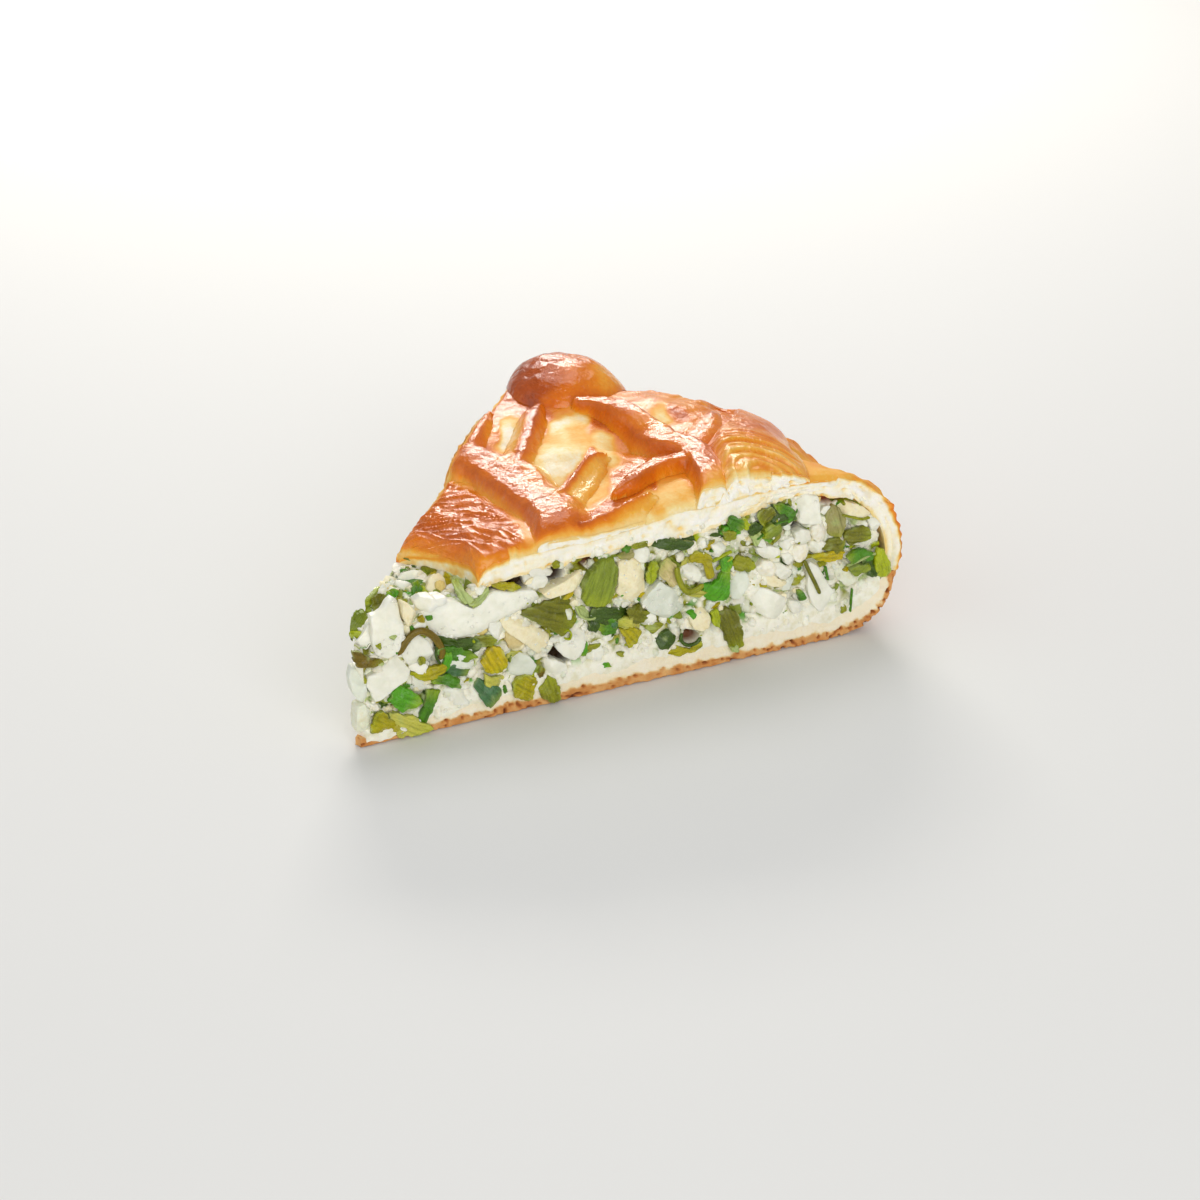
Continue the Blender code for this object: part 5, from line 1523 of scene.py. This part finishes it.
def crumb_spots(chance, count, bunched):
    """Spots on the cuts, a share of them bunched where the sauce has curdled."""
    thick = list(RIGHT_CUT.seen_at(CRUMB_HEARTS, 0.5))
    spots = []
    while len(spots) < count:
        side = 1 if chance.random() < 0.58 else -1
        if side > 0 and chance.random() < bunched:
            heart = chance.choice(thick)
            r, q = (chance.gauss(heart[0], 3.6), chance.gauss(heart[1], 2.6))
        else:
            r, q = chance.uniform(4, 137), chance.uniform(2, 40)
        if not 3 < r < 137:
            continue
        top = float(roof(r, side * HALF_ANGLE))
        over = 2.6 * chance.random() ** 2 if r > VENT_RADIUS + 4 else -0.2
        if float(base_top(r)) - 0.6 < q < top + over:
            spots.append((side, r, q))
    seen = np.array(spots)
    open_share = hollows_and_painted_shade(seen[:, 1], seen[:, 2])[0] * (seen[:, 0] > 0)
    return [spot for spot, share in zip(spots, open_share) if share < 0.3]


def drop_bits(chance, spots, names, kind, sizes, tints, leafy, sink):
    """Small uneven bits put on whatever of the named pieces lies foremost at the spots."""
    trees = [BVHTree.FromPolygons([vert.co for vert in piece.data.vertices],
                                  [face.vertices for face in piece.data.polygons])
             for piece in map(bpy.data.objects.get, names)]
    form, faces = small_form(kind)
    groups = [], []
    for side, r, q in spots:
        sheet = RIGHT_CUT if side > 0 else LEFT_CUT
        start = to_slice(sheet.points(np.array(side * r), np.array(q), np.array(8.0)))
        hits = [(*tree.ray_cast(Vector(start), Vector(-sheet.out), 14 * MM), name)
                for tree, name in zip(trees, names)]
        hits = [hit for hit in hits if hit[0] is not None]
        if not hits:
            continue
        place, normal, _, _, name = min(hits, key=lambda hit: hit[3])
        clump = ripple(np.array([(r, q, 7.0 * side)]), 2.6, 72)[0]
        if "leaf" in name or "leaves" in name:
            if clump < 0.42:
                continue
        size = chance.choice(sizes) * chance.uniform(0.8, 1.2)
        middle = np.array(place) / MM - (0, MIDDLE_Y, 0) - np.array(normal) * sink * size
        shape = form * (size * np.array([chance.uniform(0.6, 1.35) for _ in range(3)]))
        shape = shape * (1 + 0.32 * ripple(form * 1.9 + (r, q, side), 1.0, 71))[:, None]
        green = chance.random() < leafy
        tint = chance.choice(("green", "olive", "bright", "lime") if green else tints)
        groups[green].append(shape_of((middle + shape, form * size, form[:, 0] * 0), tint, chance))
    return groups, faces


# Pieces that crumbs may lie on
CRUMBED = ("filling_mass", "egg_white_chunks", "egg_yolk_chunks", "onion_leaves",
           "onion_leaf_edges", "egg_scraps", "yolk_scraps", "leaf_scraps", "egg_left_pieces",
           "yolk_left_pieces", "leaf_left_pieces", "lid")


def add_curds(settings):
    """Curds of egg and sauce that fill the gaps between the pieces."""
    chance = random.Random(settings.seed + 2)
    spots = crumb_spots(chance, settings.curds, 0.15)
    (pale, green), faces = drop_bits(chance, spots, ("filling_mass", "lid"), "curd",
                                     (0.35, 0.45, 0.55, 0.7, 0.9, 1.3),
                                     ("curd", "curd", "white", "white", "pale"), 0.07, 0.45)
    add_pieces("curds", pale, faces, "sauce")
    add_pieces("leaf_bits", green, faces, "leaf")


def add_crumbs(settings):
    """Small crumbs of egg and leaf that stick to the pieces at the cuts."""
    chance = random.Random(settings.seed + 1)
    spots = crumb_spots(chance, settings.crumbs, 0.85)
    (pale, green), faces = drop_bits(chance, spots, CRUMBED, "crumb",
                                     (0.16, 0.2, 0.28, 0.38, 0.5), ("white", "white", "curd"),
                                     0.04, 0.3)
    add_pieces("egg_crumbs", pale, faces, "egg")
    add_pieces("leaf_crumbs", green, faces, "leaf")


# Materials

def add_node(tree, kind, settings=None, **links):
    """A shader node with its options and values, joined to the sockets given by input name."""
    node = tree.nodes.new("ShaderNode" + kind)
    for name, value in (settings or {}).items():
        if hasattr(node, name):
            setattr(node, name, value)
        else:
            node.inputs[name].default_value = value
    for name, socket in links.items():
        target = node.inputs[int(name[1:])] if name[0] == "_" else node.inputs[name]
        tree.links.new(socket, target)
    return node


def new_material(name, shader_values):
    """Empty material with one principled shader and its unlinked values."""
    material = bpy.data.materials.new(name)
    material.use_nodes = True
    tree = material.node_tree
    tree.nodes.clear()
    shader = add_node(tree, "BsdfPrincipled", shader_values)
    add_node(tree, "OutputMaterial", None, Surface=shader.outputs["BSDF"])
    return material, tree, shader


def soft(ior, weight, reach, glow, specular=0.5):
    """Shader values of soft food: light goes reach millimetres in, by red, green and blue."""
    return {"Specular IOR Level": specular, "IOR": ior, "Subsurface Weight": weight,
            "Subsurface Scale": reach * MM, "Subsurface Radius": glow}


def own(tree, name, socket="Fac"):
    """What mark stored in the piece under a name."""
    return add_node(tree, "Attribute", {"attribute_name": name}).outputs[socket]


def pattern(tree, millimetres, detail=3.0, roughness=0.55):
    """Noise whose blotches are about so many millimetres across."""
    where = add_node(tree, "TexCoord").outputs["Object"]
    return add_node(tree, "TexNoise", {"Scale": 1.0 / (millimetres * MM), "Detail": detail,
                                       "Roughness": roughness}, Vector=where).outputs["Fac"]


def reckon(tree, operation, first, second, clamp=False):
    """Two numbers, or sockets, put together by one step of arithmetic."""
    node = add_node(tree, "Math", {"operation": operation, "use_clamp": clamp})
    for place, value in enumerate((first, second)):
        if isinstance(value, (int, float)):
            node.inputs[place].default_value = value
        else:
            tree.links.new(value, node.inputs[place])
    return node.outputs[0]


def sway(tree, level, amount, share):
    """A level and an amount of a share on top of it."""
    return reckon(tree, "ADD", level, reckon(tree, "MULTIPLY", share, amount))


def stops(tree, share, colours):
    """Colour ramp through hex colours at their shares."""
    node = add_node(tree, "ValToRGB", None, Fac=share)
    ramp = node.color_ramp
    while len(ramp.elements) < len(colours):
        ramp.elements.new(0.5)
    for element, (at, code) in zip(ramp.elements, colours):
        element.position = at
        element.color = colour(code)
    return node.outputs["Color"]


def mixed(tree, kind, share, first, second):
    """Two colours put together; share, first and second are sockets or values."""
    node = add_node(tree, "Mix", {"data_type": "RGBA", "blend_type": kind})
    for place, value in ((0, share), (6, first), (7, second)):
        if isinstance(value, bpy.types.NodeSocket):
            tree.links.new(value, node.inputs[place])
        else:
            node.inputs[place].default_value = value
    return node.outputs[2]


def raise_bumps(tree, height, millimetres, strength, under=None):
    node = add_node(tree, "Bump", {"Strength": strength, "Distance": millimetres * MM},
                    Height=height)
    if under is not None:
        tree.links.new(under, node.inputs["Normal"])
    return node.outputs["Normal"]


# From pale crumb through gold and glazed brown to where the oven burnt it
BAKED = {
    "glazed_crust": ((0, "#fcf8ee"), (0.07, "#faf2d8"), (0.16, "#f4d890"), (0.3, "#efb040"),
                     (0.45, "#e88c1a"), (0.6, "#d97014"), (0.78, "#b24e0e"), (1.0, "#6b2808")),
    "base_crumb": ((0, "#f8f1dd"), (0.15, "#f0dcae"), (0.3, "#e0b070"), (0.45, "#cc8a48"),
                   (0.6, "#b06a30"), (0.8, "#86481c"), (1.0, "#572a0e")),
}


def dough_material(name):
    """Yeast dough, baked: matt pale crumb where it is cut, and a thin egg-glazed skin."""
    if name in bpy.data.materials:
        return bpy.data.materials[name]
    material, tree, shader = new_material(name, soft(1.46, 0.08, 1.5, (1.0, 0.55, 0.25)))
    tone, crumb, shine = (own(tree, stored_name) for stored_name in ("tone", "crumb", "shine"))
    broad = reckon(tree, "MULTIPLY", reckon(tree, "SUBTRACT", pattern(tree, 5.0), 0.5), 0.22)
    fine = reckon(tree, "MULTIPLY", reckon(tree, "SUBTRACT", pattern(tree, 0.8), 0.5), 0.14)
    spotted = reckon(tree, "MULTIPLY", reckon(tree, "ADD", broad, fine),
                     sway(tree, 1.0, -0.45, crumb))
    shown = reckon(tree, "ADD", tone, spotted, clamp=True)
    tree.links.new(stops(tree, shown, BAKED[name]), shader.inputs["Base Color"])
    rough = sway(tree, sway(tree, 0.6, -0.57, shine), 0.08, pattern(tree, 3.0))
    rough = sway(tree, rough, 0.3, crumb)
    rough = reckon(tree, "MAXIMUM", reckon(tree, "MINIMUM", rough, 0.92), 0.1)
    tree.links.new(rough, shader.inputs["Roughness"])
    open_crumb = reckon(tree, "MULTIPLY", pattern(tree, 2.2, 5.0, 0.64), crumb)
    matt_skin = reckon(tree, "SUBTRACT", 1.0, reckon(tree, "MULTIPLY", shown, 1.1, clamp=True))
    skin = reckon(tree, "MULTIPLY", pattern(tree, 1.2, 4.0), matt_skin)
    glaze = reckon(tree, "MULTIPLY", pattern(tree, 1.7, 3.0, 0.6), shine)
    relief_under = raise_bumps(tree, glaze, 0.8, 0.5, raise_bumps(tree, skin, 0.3, 0.5))
    tree.links.new(raise_bumps(tree, open_crumb, 0.9, 0.6, relief_under), shader.inputs["Normal"])
    return material


def moist_material(name, body, blotches, stains, share, wet, bumps):
    """Moist food in its own tint: blotched, shiny in spots and bumpy, by sizes in millimetres."""
    if name in bpy.data.materials:
        return bpy.data.materials[name]
    material, tree, shader = new_material(name, body)
    stained = stops(tree, pattern(tree, *blotches), stains)
    tinted = mixed(tree, "MULTIPLY", share, own(tree, "tint", "Color"), stained)
    tree.links.new(tinted, shader.inputs["Base Color"])
    if wet:
        level, amount, size = wet
        tree.links.new(sway(tree, level, amount, pattern(tree, size)), shader.inputs["Roughness"])
    size, detail, height, strength = bumps
    raised = raise_bumps(tree, pattern(tree, size, detail), height, strength)
    tree.links.new(raised, shader.inputs["Normal"])
    return material


def egg_white_material():
    """Boiled egg white: smooth, faintly see-through at its edges, with a soft wet shine."""
    return moist_material(
        "boiled_egg_white", soft(1.36, 0.25, 2.0, (1.0, 0.85, 0.6)), (2.6,),
        ((0.35, "#eef0ea"), (0.6, "#ffffff")), 0.6, (0.2, 0.32, 1.5), (1.4, 4.0, 0.3, 0.4))


def egg_yolk_material():
    """Boiled yolk and curdled sauce: crumbly, matt and creamy yellow."""
    body = {**soft(1.4, 0.12, 1.2, (1.0, 0.7, 0.3), 0.4), "Roughness": 0.55}
    return moist_material(
        "boiled_egg_yolk", body, (1.6, 4.0),
        ((0.3, "#ece0bd"), (0.55, "#ffffff")), 0.5, None, (0.7, 5.0, 0.4, 0.6))


def sauce_material():
    """Creamy sauce with melted cheese and leaf crumbs: wet, lumpy, mottled."""
    return moist_material(
        "creamy_sauce", soft(1.4, 0.1, 1.0, (1.0, 0.7, 0.3)), (2.0, 4.0),
        ((0.34, "#e6e2c8"), (0.55, "#ffffff")), 0.6, (0.25, 0.4, 1.4), (1.0, 4.0, 0.4, 0.5))


def leaf_material():
    """Cooked onion leaf: olive to bright green, ribbed along its length, wet and thin."""
    name = "cooked_onion_leaf"
    if name in bpy.data.materials:
        return bpy.data.materials[name]
    material, tree, shader = new_material(name, soft(1.42, 0.12, 1.0, (0.6, 1.0, 0.2)))
    # Ribs read the leaf's own length and width in millimetres, so that they run along it
    stretched = add_node(tree, "Mapping", {"Scale": (0.12, 1.0, 1.0)},
                         Vector=own(tree, "grain", "Vector")).outputs[0]
    ribs = add_node(tree, "TexNoise", {"Scale": 1.5, "Detail": 3.0, "Roughness": 0.6},
                    Vector=stretched).outputs["Fac"]
    ribbed = stops(tree, ribs, ((0.32, "#a2a87c"), (0.5, "#e4e6ca"), (0.68, "#ffffff")))
    striped = mixed(tree, "MULTIPLY", 0.75, own(tree, "tint", "Color"), ribbed)
    pale = stops(tree, pattern(tree, 3.0), ((0.55, "#000000"), (0.75, "#404040")))
    creamy = mixed(tree, "MIX", pale, striped, colour("#cfc878"))
    tree.links.new(creamy, shader.inputs["Base Color"])
    tree.links.new(sway(tree, 0.08, 0.4, pattern(tree, 1.2)), shader.inputs["Roughness"])
    height = sway(tree, ribs, 0.6, pattern(tree, 0.8))
    tree.links.new(raise_bumps(tree, height, 0.4, 0.7), shader.inputs["Normal"])
    return material


# What the pieces of the filling are of: material and slot
FILLING_KINDS = {"egg": (egg_white_material, "egg_white"), "yolk": (egg_yolk_material, "egg_yolk"),
                 "leaf": (leaf_material, "onion_leaf"), "sauce": (sauce_material, "egg_and_onion")}


def floor_material():
    """Pale seamless paper under the slice."""
    values = {"Base Color": colour("#e4e4e2"), "Roughness": 0.8, "Specular IOR Level": 0.2}
    return new_material("studio_floor", values)[0]


# Stage

def add_light(name, azimuth, elevation, distance, size, power, tint="#ffffff"):
    """Soft panel of light that looks at the slice from a direction, at a distance in metres."""
    back = Vector(toward(azimuth, elevation))
    bpy.ops.object.light_add(type="AREA", location=back * distance)
    light = bpy.context.object
    light.name = name
    light.data.shape = "RECTANGLE"
    light.data.size, light.data.size_y = size
    light.data.energy = power
    light.data.color = colour(tint)[:3]
    light.rotation_mode = "QUATERNION"
    light.rotation_quaternion = (-back).to_track_quat("-Z", "Y")
    return light


def add_stage(settings):
    """Camera of the photograph, pale floor and soft studio light."""
    deselect()
    bpy.ops.mesh.primitive_plane_add(size=4, location=(0, 0, -0.0002))
    floor = bpy.context.object
    floor.name = "studio_floor"
    floor.data.materials.append(floor_material())
    lights = [
        add_light("back_strip", VIEW_AZIMUTH + 185, 26, 0.9, (0.42, 0.15), settings.back_power,
                  "#fff9f0"),
        add_light("top_softbox", VIEW_AZIMUTH + 180, 64, 0.9, (0.6, 0.5), settings.top_power),
        add_light("front_fill", VIEW_AZIMUTH + 14, 24, 1.1, (1.1, 0.8), settings.front_power),
        add_light("left_fill", VIEW_AZIMUTH - 75, 35, 1.0, (0.8, 0.6), settings.side_power),
    ]
    back = Vector(toward(VIEW_AZIMUTH, VIEW_ELEVATION))
    bpy.ops.object.camera_add(location=Vector(VIEW_TARGET) + back * VIEW_DISTANCE)
    camera = bpy.context.object
    camera.rotation_mode = "QUATERNION"
    camera.rotation_quaternion = (-back).to_track_quat("-Z", "Y")
    camera.data.lens = LENS
    camera.data.sensor_width = SENSOR
    camera.data.clip_start = 0.05
    bpy.context.scene.camera = camera
    world = bpy.data.worlds.new("studio_light")
    world.use_nodes = True
    sky = world.node_tree.nodes["Background"]
    sky.inputs["Color"].default_value = (*settings.room_colour, 1.0)
    sky.inputs["Strength"].default_value = settings.room_strength
    bpy.context.scene.world = world
    bpy.context.scene.view_settings.view_transform = "Standard"


# Add-on

class PieDoughSettings(bpy.types.PropertyGroup):
    """Settings of the crusts."""

    crumb: bpy.props.BoolProperty(
        name="Crumb Relief", description="Give the cut faces of the base their pores and pits",
        default=True)


class PieFillingSettings(bpy.types.PropertyGroup):
    """Settings of the filling."""

    egg_rise: bpy.props.FloatProperty(
        name="Egg Rise", description="How far the face of a lump of egg is domed",
        default=0.0004, min=0, max=0.003, precision=4, subtype="DISTANCE", unit="LENGTH")
    egg_depth: bpy.props.FloatProperty(
        name="Egg Depth", description="How far a lump of egg reaches into the filling",
        default=0.005, min=0.001, max=0.01, precision=4, subtype="DISTANCE", unit="LENGTH")
    leaf_depth: bpy.props.FloatProperty(
        name="Leaf Thickness", description="Thickness of a flat piece of onion leaf",
        default=0.0009, min=0.0003, max=0.003, precision=4, subtype="DISTANCE", unit="LENGTH")
    scraps: bpy.props.IntProperty(
        name="Scraps", description="Number of small pieces between the large ones",
        default=130, min=0, max=600)
    curds: bpy.props.IntProperty(
        name="Curds", description="Number of curds that fill the gaps", default=1500,
        min=1, max=4000)
    crumbs: bpy.props.IntProperty(
        name="Crumbs", description="Number of loose crumbs at the cuts",
        default=750, min=1, max=6000)
    seed: bpy.props.IntProperty(
        name="Seed", description="Which random scatter is used", default=21, min=0)
    sauce_code: bpy.props.StringProperty(
        name="Sauce Colour", description="sRGB hex colour of the creamy sauce",
        default="#f4f1e0")
    bit_size: bpy.props.FloatProperty(
        name="Bit Size", description="Size of the chopped bits in the mass of the filling",
        default=0.0022, min=0.001, max=0.01, precision=4, subtype="DISTANCE", unit="LENGTH")


class PieStageSettings(bpy.types.PropertyGroup):
    """Settings of the light."""

    back_power: bpy.props.FloatProperty(
        name="Back Light", description="Power of the bright strip behind the slice", default=3.8,
        min=0, unit="POWER")
    top_power: bpy.props.FloatProperty(
        name="Top Light", description="Power of the softbox above the slice", default=2.5,
        min=0, unit="POWER")
    front_power: bpy.props.FloatProperty(
        name="Front Light", description="Power of the fill beside the camera", default=7.0,
        min=0, unit="POWER")
    side_power: bpy.props.FloatProperty(
        name="Side Light", description="Power of the fill at the left", default=1.2,
        min=0, unit="POWER")
    room_colour: bpy.props.FloatVectorProperty(
        name="Room Colour", description="Colour of the light from all round",
        default=(1.0, 1.0, 1.0), min=0, max=1, subtype="COLOR")
    room_strength: bpy.props.FloatProperty(
        name="Room Strength", description="Strength of the light from all round", default=0.34,
        min=0)


class PieOperator:
    """What the slice's operators have in common."""

    bl_options = {"REGISTER", "UNDO"}


class PIE_OT_base(PieOperator, bpy.types.Operator):
    """Make the bottom crust"""
    bl_idname = "pie.base"
    bl_label = "Bottom Crust"

    def execute(self, context):
        add_base(context.scene.pie_dough)
        return {"FINISHED"}


class PIE_OT_lid(PieOperator, bpy.types.Operator):
    """Make the lid with its wall and its cut edges"""
    bl_idname = "pie.lid"
    bl_label = "Lid"

    def execute(self, context):
        add_lid()
        return {"FINISHED"}


class PIE_OT_bands(PieOperator, bpy.types.Operator):
    """Make the two slashed bands of dough on the lid"""
    bl_idname = "pie.bands"
    bl_label = "Slashed Bands"

    def execute(self, context):
        add_band("near_band_baked", NEAR_RIDGES, 81, "band_near")
        add_band("far_band_baked", FAR_RIDGES, 91, "band_far")
        return {"FINISHED"}


class PIE_OT_rim(PieOperator, bpy.types.Operator):
    """Make the bun and the fold on the rim"""
    bl_idname = "pie.rim"
    bl_label = "Bun and Fold"

    def execute(self, context):
        add_bun()
        add_fold()
        return {"FINISHED"}


class PIE_OT_filling(PieOperator, bpy.types.Operator):
    """Make the creamy mass that fills the pie"""
    bl_idname = "pie.filling"
    bl_label = "Filling"

    def execute(self, context):
        add_filling(context.scene.pie_filling)
        return {"FINISHED"}


class PIE_OT_egg(PieOperator, bpy.types.Operator):
    """Make the lumps of egg at the right cut"""
    bl_idname = "pie.egg"
    bl_label = "Egg"

    def execute(self, context):
        add_shown_egg(context.scene.pie_filling)
        return {"FINISHED"}


class PIE_OT_leaves(PieOperator, bpy.types.Operator):
    """Make the pieces of onion leaf at the right cut"""
    bl_idname = "pie.leaves"
    bl_label = "Onion Leaves"

    def execute(self, context):
        add_shown_leaves(context.scene.pie_filling)
        return {"FINISHED"}


class PIE_OT_rubble(PieOperator, bpy.types.Operator):
    """Make the small pieces and those of the left cut and the vent"""
    bl_idname = "pie.rubble"
    bl_label = "Small Pieces"

    def execute(self, context):
        add_rubble(context.scene.pie_filling)
        return {"FINISHED"}


class PIE_OT_curds(PieOperator, bpy.types.Operator):
    """Fill the gaps between the pieces with curds"""
    bl_idname = "pie.curds"
    bl_label = "Curds"

    def execute(self, context):
        add_curds(context.scene.pie_filling)
        return {"FINISHED"}


class PIE_OT_crumbs(PieOperator, bpy.types.Operator):
    """Drop crumbs on the pieces at the cuts"""
    bl_idname = "pie.crumbs"
    bl_label = "Crumbs"

    def execute(self, context):
        add_crumbs(context.scene.pie_filling)
        return {"FINISHED"}


class PIE_OT_stage(PieOperator, bpy.types.Operator):
    """Set up the camera, the floor and the light"""
    bl_idname = "pie.stage"
    bl_label = "Stage"

    def execute(self, context):
        add_stage(context.scene.pie_stage)
        return {"FINISHED"}


OPERATORS = (PIE_OT_base, PIE_OT_lid, PIE_OT_bands, PIE_OT_rim, PIE_OT_filling, PIE_OT_egg,
             PIE_OT_leaves, PIE_OT_rubble, PIE_OT_curds, PIE_OT_crumbs, PIE_OT_stage)


class PIE_PT_panel(bpy.types.Panel):
    """Panel of the pie in the sidebar"""
    bl_idname = "PIE_PT_panel"
    bl_label = "Green Onion and Egg Pie"
    bl_space_type = "VIEW_3D"
    bl_region_type = "UI"
    bl_category = "Pie"

    def draw(self, context):
        scene = context.scene
        for settings in (scene.pie_dough, scene.pie_filling, scene.pie_stage):
            box = self.layout.box()
            for name in settings.__annotations__:
                box.prop(settings, name)
        column = self.layout.column(align=True)
        for operator in OPERATORS:
            column.operator(operator.bl_idname)


CLASSES = (PieDoughSettings, PieFillingSettings, PieStageSettings, *OPERATORS, PIE_PT_panel)


def register():
    for cls in CLASSES:
        bpy.utils.register_class(cls)
    bpy.types.Scene.pie_dough = bpy.props.PointerProperty(type=PieDoughSettings)
    bpy.types.Scene.pie_filling = bpy.props.PointerProperty(type=PieFillingSettings)
    bpy.types.Scene.pie_stage = bpy.props.PointerProperty(type=PieStageSettings)


def unregister():
    del bpy.types.Scene.pie_stage
    del bpy.types.Scene.pie_filling
    del bpy.types.Scene.pie_dough
    for cls in reversed(CLASSES):
        bpy.utils.unregister_class(cls)


def main():
    register()
    for operator in OPERATORS:
        getattr(bpy.ops.pie, operator.bl_idname.removeprefix("pie."))()


if __name__ == "__main__":
    main()
